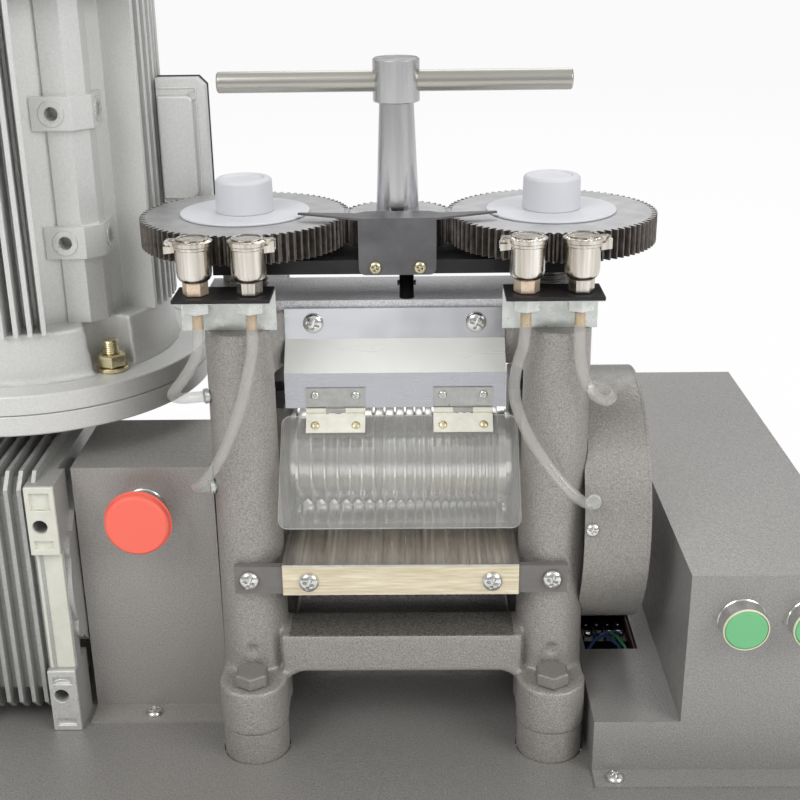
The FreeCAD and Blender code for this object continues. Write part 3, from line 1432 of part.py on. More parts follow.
def terminal_box():
    """Lid of the junction box on the motor's right side, facing the operator, and its gasket."""
    x = (reducer_x + terminal_x[0], reducer_x + terminal_x[1])
    y = terminal_front
    back = y + terminal_lid
    lid = box(x, (y, back), about_terminal(0.0))
    corners = [edge for edge in lid.Edges if edge.BoundBox.YLength > terminal_lid - 0.1
               and edge.BoundBox.XMax > x[1] - 0.1]
    raised = box((x[0], x[1] - 6.0), (y - 3.0, y), about_terminal(-terminal_margin))
    gasket = box(x, (back, back + terminal_gasket), about_terminal(0.8))
    return group([join([lid.makeChamfer(4.0, corners), raised]), gasket])


def fan_cowl():
    """Steel cap over the fan, with slots in its top for the air."""
    low, high = bed_top + motor_body_top, bed_top + motor_body_top + cowl_height
    x, y = reducer_x, motor_y
    cowl_r = motor_fin_r + 1.0
    shell = rod(Z_AXIS, (x, y, low), cowl_r, high - low)
    hollow = rod(Z_AXIS, (x, y, low - 1), cowl_r - cowl_sheet, high - low + 1 - cowl_sheet)
    slots = []
    for i in range(cowl_slots):
        slot = box(cowl_slot_span, about(0, cowl_slot / 2.0), (high - 5, high + 5))
        slot.rotate(vec(0, 0, 0), Z_AXIS, 360.0 * i / cowl_slots)
        slot.translate(vec(x, y, 0))
        slots.append(slot)
    return shell.cut([hollow] + slots)


def upper_shield():
    """Upper end shield that closes the housing and carries the shaft's upper bearing."""
    low = bed_top + motor_body_top
    x, y = reducer_x, motor_y
    plate = rod(Z_AXIS, (x, y, low), motor_fin_r + 1.0 - cowl_sheet - 0.2, 6.0)
    plug = rod(Z_AXIS, (x, y, low - 8.0), motor_bore_r, 8.5)
    shaft_bore = rod(Z_AXIS, (x, y, low - 20), motor_shaft_r + running_clearance, 60)
    return join([plate, plug]).cut(shaft_bore)


# ---------------------------------------------------------------- control console
def control_box():
    """Sheet console in two heights with a cut-out in the low step."""
    low_x, high_x = (console_left, console_right), (console_step, console_right)
    y = (console_front, console_back)
    low, low_inside = bed_cover(low_x, y, console_step_height, console_sheet)
    high, high_inside = bed_cover(high_x, y, console_height, console_sheet)
    case = join([low, high]).cut([low_inside, high_inside])
    case = join([case] + bed_flanges(low_x, y, console_flange, console_sheet))
    step_top = bed_top + console_step_height
    tools = [box(cutout_x, cutout_y, (step_top - 5, step_top + 1))]
    for x in button_x:
        mouth = (x, console_front - 1, bed_top + button_height)
        tools.append(rod(Y_AXIS, mouth, push_hole_r, 5))
    tools += [rod(Z_AXIS, (x, y, bed_top - 1), panel_shank_r, 5) for x, y, z in panel_seats()]
    return case.cut(tools)


def terminal_block():
    """Screw terminal strips under the console's cut-out, with three wires down to the bed."""
    front = cutout_y[0] + 14.0
    top = bed_top + terminal_rise
    parts = [box((cutout_x[0] + 2, cutout_x[1] - 1), (front, cutout_y[1] - 4), (bed_top, top))]
    for row in (0, 1):
        y = front + 6.0 + row * terminal_row
        for i in range(4):
            x = cutout_x[0] + 6.0 + i * terminal_pitch
            parts.append(rod(Z_AXIS, (x, y, top), terminal_screw_r, terminal_screw))
    for i, lean in enumerate((14.0, -10.0, 6.0)):
        x = cutout_x[0] + 8.0 + 8.0 * i
        start, end = vec(x, front, top - 3.0), vec(x + lean, front - 15.0, bed_top + wire_r)
        parts.append(Part.makeCylinder(wire_r, (end - start).Length, start, end - start))
    return group(parts)


# ---------------------------------------------------------------- all pieces
def build():
    pieces = {
        "bed_plate": bed_plate(), "foot_spacers": foot_spacers(), "mill_frame": mill_frame(),
        "frame_bolts": foot_bolts(), "cap_plate": cap_plate(), "screw_nuts": screw_nuts(),
        "lower_chocks": lower_chocks(), "lower_bushes": bushes(lower_axis),
        "upper_chocks": upper_chocks(), "upper_bushes": bushes(upper_axis),
        "lower_roll": roll(lower_axis, lower_neck_end),
        "upper_roll": roll(upper_axis, -side_x - chock_half_x - 2.0),
        "lower_roll_gear": roll_gear(lower_axis, 90.0),
        "upper_roll_gear": roll_gear(upper_axis, 270.0 + 180.0 / roll_gear_teeth),
        "roll_gear_housing": roll_gear_housing(), "gear_housing_lid": gear_housing_lid(),
        "bridge_bar": bridge_bar(), "pointer_cover": pointer_cover(),
        "handle_column": handle_column(), "t_bar": t_bar(), "pinion": pinion(),
        "guard_plate": guard_plate(), "table_bar": table_bar(), "feed_table": feed_table(),
        "pan_screws": pan_screws(), "hinge_upper_leaves": hinge_fixed(),
        "hinge_lower_leaves": visor_hinges(), "visor": visor(),
        "oil_brackets": oil_brackets(), "oil_cups": oil_cups(), "oil_fittings": oil_fittings(),
        "coupling_box": coupling_box(), "estop_button": estop_button(),
        "button_collars": button_collars(), "left_push_button": push_button(button_x[0]),
        "right_push_button": push_button(button_x[1]),
        "reducer_housing": reducer_housing(), "drive_coupling": drive_coupling(),
        "motor_flanges": motor_flanges(), "flange_bolts": flange_bolts(),
        "motor_body": motor_body(),
        "motor_rotor": motor_rotor(), "fan_cowl": fan_cowl(), "terminal_box": terminal_box(),
        "control_box": control_box(), "terminal_block": terminal_block(),
    }
    for name, side in (("left", -1), ("right", 1)):
        pieces[name + "_screw"] = pressure_screw(side)
        pieces[name + "_gear"] = screw_gear(side)
        pieces[name + "_dial"] = dial(side)
    for i, route in enumerate(hose_routes()):
        pieces["oil_hose_%d" % (i + 1)] = hose(route, hose_d)
        pieces["oil_lid_%d" % (i + 1)] = oil_lid(i)
    return pieces


os.makedirs("parts", exist_ok=True)
for name, shape in build().items():
    if not shape.isValid():
        print("invalid shape:", name)
    shape.exportStep("parts/%s.step" % name)
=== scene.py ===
import math

import bmesh
import bpy
from mathutils import Matrix, Vector


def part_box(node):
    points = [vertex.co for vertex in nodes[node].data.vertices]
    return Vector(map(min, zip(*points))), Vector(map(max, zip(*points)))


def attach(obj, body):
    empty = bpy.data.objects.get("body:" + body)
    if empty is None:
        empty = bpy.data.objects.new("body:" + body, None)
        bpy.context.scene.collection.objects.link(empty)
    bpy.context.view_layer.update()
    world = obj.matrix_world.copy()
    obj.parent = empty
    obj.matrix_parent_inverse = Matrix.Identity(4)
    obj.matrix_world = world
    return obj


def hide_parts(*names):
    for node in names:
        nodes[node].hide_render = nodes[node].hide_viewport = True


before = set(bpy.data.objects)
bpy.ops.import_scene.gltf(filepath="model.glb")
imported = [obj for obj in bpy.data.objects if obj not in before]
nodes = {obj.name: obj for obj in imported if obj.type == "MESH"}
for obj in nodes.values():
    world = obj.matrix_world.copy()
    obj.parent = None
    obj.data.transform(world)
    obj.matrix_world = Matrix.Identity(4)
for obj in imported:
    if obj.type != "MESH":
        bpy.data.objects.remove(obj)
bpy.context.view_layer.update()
MM = 0.001
X, Y, Z = range(3)
TO_FRONT, TO_BACK, TO_TOP = (0, -1, 0), (0, 1, 0), (0, 0, 1)


def low(node, axis, inset=0.0):
    """Place inset millimetres inside the low side of a CAD node, to the hundredth."""
    return round(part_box(node)[0][axis] / MM + inset, 2)


def high(node, axis, inset=0.0):
    """Place inset millimetres inside the high side of a CAD node, to the hundredth."""
    return round(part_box(node)[1][axis] / MM - inset, 2)


def middle(node, axis):
    """Place halfway between the two sides of a CAD node."""
    return round((low(node, axis) + high(node, axis)) / 2.0, 3)


# ---------------------------------------------------------------- materials
def srgb(*values):
    """Linear colour from 0 to 255 screen values."""
    def one(v):
        v /= 255.0
        return v / 12.92 if v <= 0.04045 else ((v + 0.055) / 1.055) ** 2.4
    return tuple(one(v) for v in values) + (1.0,)


class Paint:
    """A Principled material with helpers for procedural variation."""

    def __init__(self, name, colour, rough, metal=0.0, **inputs):
        self.mat = bpy.data.materials.new(name)
        self.mat.use_nodes = True
        self.tree = self.mat.node_tree
        self.shader = self.tree.nodes["Principled BSDF"]
        self.shader.inputs["Base Color"].default_value = srgb(*colour)
        self.shader.inputs["Roughness"].default_value = rough
        self.shader.inputs["Metallic"].default_value = metal
        for key, value in inputs.items():
            self.shader.inputs[key.replace("_", " ")].default_value = value
        self.height = None

    def node(self, kind, **values):
        node = self.tree.nodes.new(kind)
        for key, value in values.items():
            setattr(node, key, value)
        return node

    def link(self, a, b):
        self.tree.links.new(a, b)

    def coords(self, stretch=(1, 1, 1)):
        place = self.node("ShaderNodeTexCoord")
        mapping = self.node("ShaderNodeMapping")
        mapping.inputs["Scale"].default_value = stretch
        self.link(place.outputs["Object"], mapping.inputs["Vector"])
        return mapping.outputs["Vector"]

    def noise(self, scale, detail=3.0, stretch=(1, 1, 1), rough=0.5):
        node = self.node("ShaderNodeTexNoise")
        node.inputs["Scale"].default_value = scale
        node.inputs["Detail"].default_value = detail
        node.inputs["Roughness"].default_value = rough
        self.link(self.coords(stretch), node.inputs["Vector"])
        return node.outputs["Fac"]

    def cells(self, scale, smooth=0.6):
        node = self.node("ShaderNodeTexVoronoi", feature="SMOOTH_F1")
        node.inputs["Scale"].default_value = scale
        node.inputs["Smoothness"].default_value = smooth
        self.link(self.coords(), node.inputs["Vector"])
        return node.outputs["Distance"]

    def ramp(self, value, low, high, start=0.3, end=0.7):
        node = self.node("ShaderNodeMapRange")
        node.inputs["From Min"].default_value = start
        node.inputs["From Max"].default_value = end
        node.inputs["To Min"].default_value = low
        node.inputs["To Max"].default_value = high
        self.link(value, node.inputs["Value"])
        return node.outputs["Result"]

    def tint(self, value, dark, light, start=0.3, end=0.7):
        """Base colour runs from dark to light with value."""
        mix = self.node("ShaderNodeMix", data_type="RGBA")
        mix.inputs["A"].default_value = srgb(*dark)
        mix.inputs["B"].default_value = srgb(*light)
        self.link(self.ramp(value, 0.0, 1.0, start, end), mix.inputs["Factor"])
        self.link(mix.outputs["Result"], self.shader.inputs["Base Color"])

    def roughen(self, value, low, high):
        self.link(self.ramp(value, low, high), self.shader.inputs["Roughness"])

    def bump(self, value, distance, strength=1.0):
        node = self.node("ShaderNodeBump")
        node.inputs["Distance"].default_value = distance
        node.inputs["Strength"].default_value = strength
        self.link(value, node.inputs["Height"])
        if self.height:
            self.link(self.height, node.inputs["Normal"])
        self.height = node.outputs["Normal"]
        self.link(self.height, self.shader.inputs["Normal"])


def hammertone(name, dark, light, size=1.0, depth=1.0):
    """Pebbled hammertone enamel with fine bright and dark speckles."""
    paint = Paint(name, light, 0.4, 0.3)
    speckle = paint.noise(980.0 / size, 5.0, rough=0.7)
    paint.tint(speckle, dark, light, 0.33, 0.66)
    paint.roughen(paint.noise(260.0 / size), 0.3, 0.5)
    paint.bump(paint.cells(520.0 / size), 0.0004 * depth, 0.4)
    paint.bump(speckle, 0.00025 * depth, 0.5)
    return paint.mat


def satin_paint(name, dark, light, rough=0.45, full=0.2):
    """Smooth enamel with a faint cloud in its tone."""
    paint = Paint(name, light, rough, full)
    paint.tint(paint.noise(60.0, 4.0), dark, light)
    paint.roughen(paint.noise(300.0), rough - 0.05, rough + 0.08)
    paint.bump(paint.noise(900.0), 0.0001, 0.25)
    return paint.mat


def metal(name, dark, light, rough, stretch=(1, 1, 1), grain=0.12, full=1.0, scale=220.0):
    """Bare metal with streaks along the axes whose stretch is small: grinding marks on most pieces, painted
    reflections on the table and the nickel.
    """
    paint = Paint(name, light, rough, full)
    marks = paint.noise(scale, 4.0, stretch, 0.6)
    paint.tint(marks, dark, light)
    cloud = paint.noise(scale * 0.7, 3.0, stretch)
    paint.roughen(cloud, max(0.04, rough - grain / 2), rough + grain)
    paint.bump(marks, 0.00006, 0.3)
    return paint.mat


def painted_reflection(name, left, right, rough, full=0.8):
    """Polished sheet with a painted reflection: its brightness runs across the mill, standing in for the
    room that bent steel shows.
    """
    paint = Paint(name, left, rough, full)
    split = paint.node("ShaderNodeSeparateXYZ")
    paint.link(paint.coords(), split.inputs["Vector"])
    reflection_run = paint.node("ShaderNodeMath", operation="ADD")
    paint.link(split.outputs["X"], reflection_run.inputs[0])
    paint.link(paint.ramp(paint.noise(26.0, 2.0), -0.025, 0.025), reflection_run.inputs[1])
    paint.tint(reflection_run.outputs["Value"], left, right, -0.01, 0.05)
    paint.roughen(paint.noise(180.0, 3.0, (0.1, 1, 1)), rough - 0.04, rough + 0.05)
    return paint.mat


def plastic(name, colour, rough):
    """Moulded plastic or rubber."""
    paint = Paint(name, colour, rough)
    paint.bump(paint.noise(700.0), 0.00005, 0.2)
    paint.roughen(paint.noise(90.0), rough - 0.04, rough + 0.05)
    return paint.mat


MATERIALS = {
    "bed": hammertone("bed_enamel", (122, 120, 117), (160, 158, 154), 1.0, 0.7),
    "frame": hammertone("frame_enamel", (126, 123, 119), (180, 176, 171), 0.9, 1.5),
    # painted shade: darker copy of the frame enamel for the faces under the table
    "frame_painted_shade": hammertone("painted_shade_enamel", (52, 49, 47), (150, 146, 141), 1.1, 3.0),
    # painted reflection: a near-white copy of the hammertone on the cap plate, standing in for the bright
    # room it shows
    "head": hammertone("head_enamel_painted_reflection", (184, 184, 187), (236, 236, 238), 0.9, 1.2),
    "sheet_box": hammertone("box_enamel", (140, 137, 133), (176, 173, 169), 0.9),
    "console": hammertone("console_enamel", (130, 128, 126), (168, 166, 163), 0.9),
    "drum": hammertone("drum_enamel", (126, 123, 119), (168, 165, 160), 1.0, 1.2),
    "dark": satin_paint("dark_enamel", (84, 83, 85), (104, 103, 105)),
    "bar_dark": satin_paint("bar_enamel", (112, 108, 106), (128, 124, 121)),
    "black": satin_paint("black_enamel", (22, 20, 21), (38, 35, 36), 0.4),
    "bolt": metal("bolt_steel", (120, 118, 114), (156, 154, 150), 0.36, grain=0.15),
    "painted_bolt": hammertone("bolt_enamel", (120, 117, 112), (148, 145, 139), 0.7),
    # painted reflection: light and dark copies of the guard's polished steel for its flange, its bends and
    # its lower flange
    "guard_flange_painted_reflection": painted_reflection("guard_flange_painted_reflection", (206, 208, 211), (158, 158, 161), 0.2),
    "guard_band_painted_reflection": painted_reflection("guard_band_painted_reflection", (240, 241, 237), (226, 227, 222), 0.3, 0.2),
    "guard_lower_painted_reflection": painted_reflection("guard_lower_painted_reflection", (184, 185, 190), (178, 179, 184), 0.26),
    "leaf_grey": metal("leaf_grey", (166, 167, 163), (184, 185, 181), 0.32, grain=0.1, full=0.6),
    # painted reflection: light and dark stripes running front to back stand in for the grooved rolls
    # mirrored in the polished table
    "table": metal("table_steel_painted_reflection", (178, 170, 160), (232, 226, 216),
                   0.2, (1, 0.02, 0.02), 0.1, 0.85, 420.0),
    # painted reflection: the lip's cream tone stands in for a cream wall mirrored in its steel
    "lip": metal("lip_steel_painted_reflection", (206, 192, 160), (240, 231, 206), 0.4, (0.2, 1, 3), 0.1, 0.4),
    "cream_leaf": metal("cream_leaf", (226, 224, 210), (240, 238, 226), 0.34, grain=0.1, full=0.4),
    "ground": metal("ground_steel", (206, 206, 207), (226, 226, 227), 0.2, (1, 1, 0.05), 0.08),
    "bar_steel": metal("bar_steel", (174, 172, 164), (190, 188, 180),
                       0.3, (0.05, 1, 1), 0.06, 0.8, 90.0),
    "roll": metal("roll_steel", (206, 205, 202), (238, 237, 234),
                  0.2, (1, 0.02, 0.02), 0.08, 1.0, 300.0),
    "iron": metal("cast_iron", (104, 101, 97), (128, 125, 120), 0.5, full=0.4),
    "gear": metal("gear_side", (84, 78, 74), (120, 114, 109), 0.34, full=0.8),
    "gear_face": metal("gear_face", (170, 170, 171), (190, 190, 191),
                       0.4, grain=0.08, full=0.7, scale=90.0),
    "bronze": metal("bronze", (168, 120, 66), (196, 148, 92), 0.32),
    # painted highlights: tall light and dark streaks stand in for the reflections running up the round
    # nickel parts
    "nickel": metal("nickel_plate_painted_streaks", (168, 158, 144), (238, 234, 226),
                    0.2, (1, 1, 0.03), 0.06, 1.0, 260.0),
    # painted reflection: warm tinted nickel for the hexagons of the cups hinged on their left
    "nickel_painted_warm_reflection": metal("nickel_painted_warm_reflection", (222, 194, 166), (240, 222, 200), 0.3, grain=0.1, full=0.7),
    "zinc_plate": metal("zinc_plate", (204, 207, 203), (222, 225, 220), 0.3, grain=0.12, full=0.6),
    "brass": metal("brass", (210, 176, 120), (230, 200, 146), 0.28, full=0.7),
    "zinc": metal("yellow_zinc", (206, 194, 156), (234, 224, 186), 0.26),
    "screw": metal("bright_screw", (214, 214, 211), (236, 236, 233), 0.2, grain=0.08),
    "white": plastic("white_plastic", (211, 212, 216), 0.42),
    "black_plastic": plastic("black_plastic", (28, 28, 30), 0.45),
    "dark_red": plastic("red_wall", (86, 44, 50), 0.5),
    "red": plastic("red_plastic", (250, 112, 94), 0.5),
    "green": plastic("green_plastic", (112, 186, 130), 0.42),
    "cream": plastic("cream_plastic", (226, 224, 196), 0.4),
    "blue_wire": plastic("blue_wire", (70, 108, 170), 0.4),
    "green_wire": plastic("green_wire", (70, 160, 100), 0.4),
    "alloy": metal("cast_alloy", (210, 210, 208), (222, 222, 219),
                   0.42, grain=0.1, full=0.35, scale=700.0),
    "reducer": metal("reducer_alloy", (166, 166, 163), (186, 186, 183),
                     0.4, grain=0.1, full=0.4, scale=700.0),
    "alloy_cut": metal("cut_alloy", (206, 206, 203), (222, 222, 219), 0.28, grain=0.1, full=0.5),
    "alloy_cream": metal("cream_alloy", (212, 212, 198), (224, 224, 212),
                         0.5, grain=0.1, full=0.1, scale=90.0),
    "gasket": plastic("gasket_rubber", (58, 58, 60), 0.6),
}


def clear(name, colour, solid, rough):
    """Clear plastic: mostly see-through, with a little haze and gloss."""
    paint = Paint(name, colour, rough, 0.0, Coat_Weight=1.0, Coat_Roughness=0.06)
    paint.roughen(paint.noise(120.0, 3.0), rough - 0.05, rough + 0.08)
    paint.link(paint.ramp(paint.noise(45.0, 3.0), solid - 0.03, solid + 0.03),
               paint.shader.inputs["Alpha"])
    return paint.mat


MATERIALS["visor"] = clear("clear_sheet", (206, 206, 202), 0.2, 0.1)
# painted highlight: a lighter, more solid copy of the clear sheet for the visor's edges, which catch the
# light
MATERIALS["visor_edge_highlight"] = clear("clear_edge_highlight", (226, 227, 226), 0.8, 0.1)
MATERIALS["hose"] = clear("clear_hose", (196, 193, 188), 0.36, 0.1)

LOOKS = {
    "bed": "bed_plate", "frame": "foot_spacers", "head": "cap_plate",
    "drum": "roll_gear_housing gear_housing_lid", "bar_dark": "table_bar",
    "sheet_box": "coupling_box", "console": "control_box",
    "dark": "pointer_cover", "black": "bridge_bar",
    "bolt": "left_screw right_screw drive_coupling",
    "guard_flange_painted_reflection": "guard_plate", "leaf_grey": "hinge_upper_leaves", "table": "feed_table",
    "cream_leaf": "hinge_lower_leaves", "ground": "handle_column", "bar_steel": "t_bar",
    "roll": "upper_roll lower_roll", "iron": "lower_chocks upper_chocks",
    "gear": "left_gear right_gear pinion upper_roll_gear lower_roll_gear motor_rotor",
    "bronze": "screw_nuts lower_bushes upper_bushes",
    "nickel": "oil_lid_1 oil_lid_2 oil_lid_3 oil_lid_4",
    "white": "left_dial right_dial", "red": "estop_button",
    "green": "left_push_button right_push_button",
    "alloy": "motor_body fan_cowl", "reducer": "reducer_housing",
    "visor": "visor",
}


SHARP_EDGE = math.radians(32.0)
FLAT_ENOUGH = math.radians(0.6)
WELD_GAP = 1e-6


def soften(obj, width):
    """Rounded edges and clean shading for a piece with flat and curved faces."""
    obj.data.polygons.foreach_set("use_smooth", [True] * len(obj.data.polygons))
    weld = obj.modifiers.new("weld", "WELD")
    weld.merge_threshold = WELD_GAP
    flat = obj.modifiers.new("flat", "DECIMATE")
    flat.decimate_type = "DISSOLVE"
    flat.angle_limit = FLAT_ENOUGH
    if width:
        edge = obj.modifiers.new("bevel", "BEVEL")
        edge.width = width * MM
        edge.segments = 2
        edge.limit_method = "ANGLE"
        edge.angle_limit = SHARP_EDGE
        edge.use_clamp_overlap = True
    shade = obj.modifiers.new("shade", "WEIGHTED_NORMAL")
    shade.mode = "FACE_AREA"
    shade.weight = 80


def dress(obj, look, width=0.3):
    """One material over the whole piece, and its edges rounded by width millimetres."""
    obj.data.materials.clear()
    obj.data.materials.append(MATERIALS[look])
    soften(obj, width)


# rounding in millimetres where it isn't the usual 0.3
EDGE = {"bed": 0.4, "sheet_box": 0.9, "console": 0.9, "alloy": 0.7, "gear": 0.18, "visor": 0.4,
        "bar_dark": 0.3, "table": 0.8, "reducer": 0.7, "white": 0.6, "roll": 0.15}
for look, names in LOOKS.items():
    for name in names.split():
        dress(nodes[name], look, EDGE.get(look, 0.3))


def face_look(obj, look, test):
    """Second look on the faces whose middle and normal, in millimetres, pass a test."""
    slot = len(obj.data.materials)
    obj.data.materials.append(MATERIALS[look])
    for face in obj.data.polygons:
        if test(obj.matrix_world @ face.center / MM, obj.matrix_world.to_3x3() @ face.normal):
            face.material_index = slot


GUARD_FOLD = 243.0
# painted highlight: the visor's edge faces get the lighter, more solid sheet
face_look(nodes["visor"], "visor_edge_highlight",
          lambda place, way: abs(way.x) > 0.1 or abs(way.z - way.y) < 0.5)
# painted reflection: the guard's bends and lower flange get their own lighter and darker copies of its steel
face_look(nodes["guard_plate"], "guard_band_painted_reflection", lambda place, way: 0.2 < abs(way.z) < 0.95)
face_look(nodes["guard_plate"], "guard_lower_painted_reflection",
          lambda place, way: place.z < GUARD_FOLD and way.y < -0.9)
# painted reflection: the table's front faces get the cream tone of a mirrored wall
face_look(nodes["feed_table"], "lip", lambda place, way: way.y < -0.9 and place.y < -80.0)
for gear in ("left_gear", "right_gear", "pinion"):
    face_look(nodes[gear], "gear_face", lambda place, way: way.z > 0.9)


# ---------------------------------------------------------------- mesh helpers
def mm(*values):
    return Vector(values) * MM


class Shape:
    """Closed forms gathered into one mesh, given in millimetres."""

    def __init__(self):
        self.mesh = bmesh.new()

    def face(self, corners):
        return self.mesh.faces.new(corners)

    def prism(self, points, depth):
        """Straight body between an outline and the same outline moved by depth."""
        near = [self.mesh.verts.new(mm(*p)) for p in points]
        far = [self.mesh.verts.new(v.co + mm(*depth)) for v in near]
        count = len(near)
        self.face(near)
        self.face(far[::-1])
        for i in range(count):
            j = (i + 1) % count
            self.face((near[j], near[i], far[i], far[j]))

    def block(self, x, y, z):
        """Box between two values along each axis."""
        points = [(x[0], y[0], z[0]), (x[1], y[0], z[0]), (x[1], y[1], z[0]), (x[0], y[1], z[0])]
        self.prism(points, (0, 0, z[1] - z[0]))

    def lathe(self, profile, centre, out, steps=56):
        """Ring body: profile is a closed outline of (distance along out, radius)."""
        out = Vector(out).normalized()
        side = out.orthogonal().normalized()
        other = out.cross(side)
        rings = []
        for along, radius in profile:
            if radius == 0:
                rings.append([self.mesh.verts.new(mm(*(Vector(centre) + out * along)))] * steps)
                continue
            ring = []
            for i in range(steps):
                a = 2 * math.pi * i / steps
                spoke = side * math.cos(a) + other * math.sin(a)
                ring.append(self.mesh.verts.new(mm(*(Vector(centre) + out * along + spoke * radius))))
            rings.append(ring)
        for near, far in zip(rings, rings[1:] + rings[:1]):
            for i in range(steps):
                j = (i + 1) % steps
                corners = []
                for v in (near[i], near[j], far[j], far[i]):
                    if v not in corners:
                        corners.append(v)
                if len(corners) > 2:
                    self.face(corners)

    def hexagon(self, centre, out, flats, height, chamfer=0.8, turn=0.0):
        """Six sided nut or head, its corners cut to a cone at both ends."""
        corner = flats / math.sqrt(3.0)
        up = Vector(out).normalized()
        side = Vector((1, 0, 0)) if abs(up.z) > 0.5 else Vector((0, 0, 1))
        other = up.cross(side)
        ring = []
        for i in range(6):
            a = math.radians(60.0 * i + 90.0 + turn)
            ring.append(side * math.cos(a) + other * math.sin(a))
        levels = ((0.0, corner - chamfer), (chamfer * 0.6, corner), (height - chamfer * 0.6, corner),
                  (height, corner - chamfer))
        rows = [[self.mesh.verts.new(mm(*(Vector(centre) + up * z + spoke * r))) for spoke in ring]
                for z, r in levels]
        for near, far in zip(rows, rows[1:]):
            for i in range(6):
                j = (i + 1) % 6
                self.face((near[i], near[j], far[j], far[i]))
        self.face(rows[0][::-1])
        self.face(rows[-1])

    def tube(self, points, radius, sides=10):
        """Round wire through points."""
        path = [Vector(p) for p in points]
        turns = [2 * math.pi * k / sides for k in range(sides)]
        rows = []
        for i, here in enumerate(path):
            before, after = path[max(i - 1, 0)], path[min(i + 1, len(path) - 1)]
            along = (after - before).normalized()
            side = along.orthogonal().normalized()
            other = along.cross(side)
            if rows:
                side = (last_side - along * last_side.dot(along)).normalized()
                other = along.cross(side)
            last_side = side
            spokes = [side * math.cos(a) + other * math.sin(a) for a in turns]
            rows.append([self.mesh.verts.new(mm(*(here + spoke * radius))) for spoke in spokes])
        for near, far in zip(rows, rows[1:]):
            for i in range(sides):
                j = (i + 1) % sides
                self.face((near[i], near[j], far[j], far[i]))
        self.face(rows[0][::-1])
        self.face(rows[-1])

    def plain(self, name):
        """Object with this mesh and nothing else."""
        bmesh.ops.recalc_face_normals(self.mesh, faces=self.mesh.faces)
        data = bpy.data.meshes.new(name)
        self.mesh.to_mesh(data)
        self.mesh.free()
        obj = bpy.data.objects.new(name, data)
        bpy.context.scene.collection.objects.link(obj)
        return obj

    def piece(self, name, look, body, slot, width=0.3, replaces=()):
        return settle(self.plain(name), look, body, width, replaces)


def settle(obj, look, body, width=0.3, replaces=()):
    """Material, soft edges and body for a piece built here."""
    dress(obj, look, width)
    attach(obj, body)
    if replaces:
        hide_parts(*replaces)
    return obj


def baked(obj, name):
    """New plain object with a scratch object's modifiers applied; the scratch object goes."""
    graph = bpy.context.evaluated_depsgraph_get()
    data = bpy.data.meshes.new_from_object(obj.evaluated_get(graph))
    data.name = name
    bpy.data.objects.remove(obj)
    result = bpy.data.objects.new(name, data)
    bpy.context.scene.collection.objects.link(result)
    return result


def carved(solid, cutter, name):
    """Solid with the cutter's space taken out."""
    cut = solid.modifiers.new("cut", "BOOLEAN")
    cut.operation = "DIFFERENCE"
    cut.solver = "EXACT"
    cut.object = cutter
    result = baked(solid, name)
    bpy.data.objects.remove(cutter)
    return result


def cast(scratch, name, look, voxel, rounds):
    """Cast version of a scratch object: same form, all its edges run soft."""
    weld = scratch.modifiers.new("weld", "WELD")
    weld.merge_threshold = WELD_GAP
    remesh = scratch.modifiers.new("remesh", "REMESH")
    remesh.mode = "VOXEL"
    remesh.voxel_size = voxel * MM
    smooth = scratch.modifiers.new("smooth", "SMOOTH")
    smooth.factor = 0.5
    smooth.iterations = rounds
    piece = baked(scratch, name)
    piece.data.materials.clear()
    piece.data.materials.append(MATERIALS[look])
    piece.data.polygons.foreach_set("use_smooth", [True] * len(piece.data.polygons))
    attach(piece, "mill")
    return piece


# ---------------------------------------------------------------- mill frame and its bolts
COLUMN_X, COLUMN_Y, COLUMN_R = middle("right_screw", X), 57.0, 20.7
FOOT_SEAT = 56.6
FOOT_BOLT_FLATS, FOOT_BOLT_HEIGHT, FOOT_BOLT_AHEAD = 19.0, 8.6, 10.2
CAP_BOLT_FLATS, CAP_BOLT_HEIGHT, CAP_BOLT_Y = 13.0, 5.3, 20.0

frame_shape = Shape()
frame_shape.mesh.from_mesh(nodes["mill_frame"].data)
for x in (-COLUMN_X, COLUMN_X):
    for y in (-COLUMN_Y, COLUMN_Y):
        frame_shape.lathe([(-4.0, 0.0), (-4.0, COLUMN_R), (12.0, COLUMN_R - 0.1), (12.0, 0.0)],
                          (x, y, FOOT_SEAT), TO_TOP, 48)
cast_frame = cast(frame_shape.plain("scratch"), "cast_mill_frame", "frame", 1.3, 5)
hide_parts("mill_frame")
# painted shade: a darker copy of the frame enamel on the faces under the table, where little light comes
face_look(cast_frame, "frame_painted_shade",
          lambda place, way: abs(place.x) < 70.0 and abs(place.y) < 80.0 and 55.0 < place.z < 135.0
          and (way.z > 0.75 or abs(place.y) < 50.0))

bolt_heads = Shape()
for x in (-COLUMN_X, COLUMN_X):
    for side in (-1, 1):
        place = (x, side * (COLUMN_Y + COLUMN_R + FOOT_BOLT_AHEAD), FOOT_SEAT)
        bolt_heads.hexagon(place, TO_TOP, FOOT_BOLT_FLATS, FOOT_BOLT_HEIGHT, 1.4)
cap_x = high("frame_bolts", X, CAP_BOLT_FLATS / 2.0)
for x in (-cap_x, cap_x):
    for y in (-CAP_BOLT_Y, CAP_BOLT_Y):
        bolt_heads.hexagon((x, y, high("cap_plate", Z)), TO_TOP, CAP_BOLT_FLATS, CAP_BOLT_HEIGHT)
bolt_heads.piece("foot_and_cap_bolts", "painted_bolt", "mill", "hammertone_grey", 0.5, ("frame_bolts",))


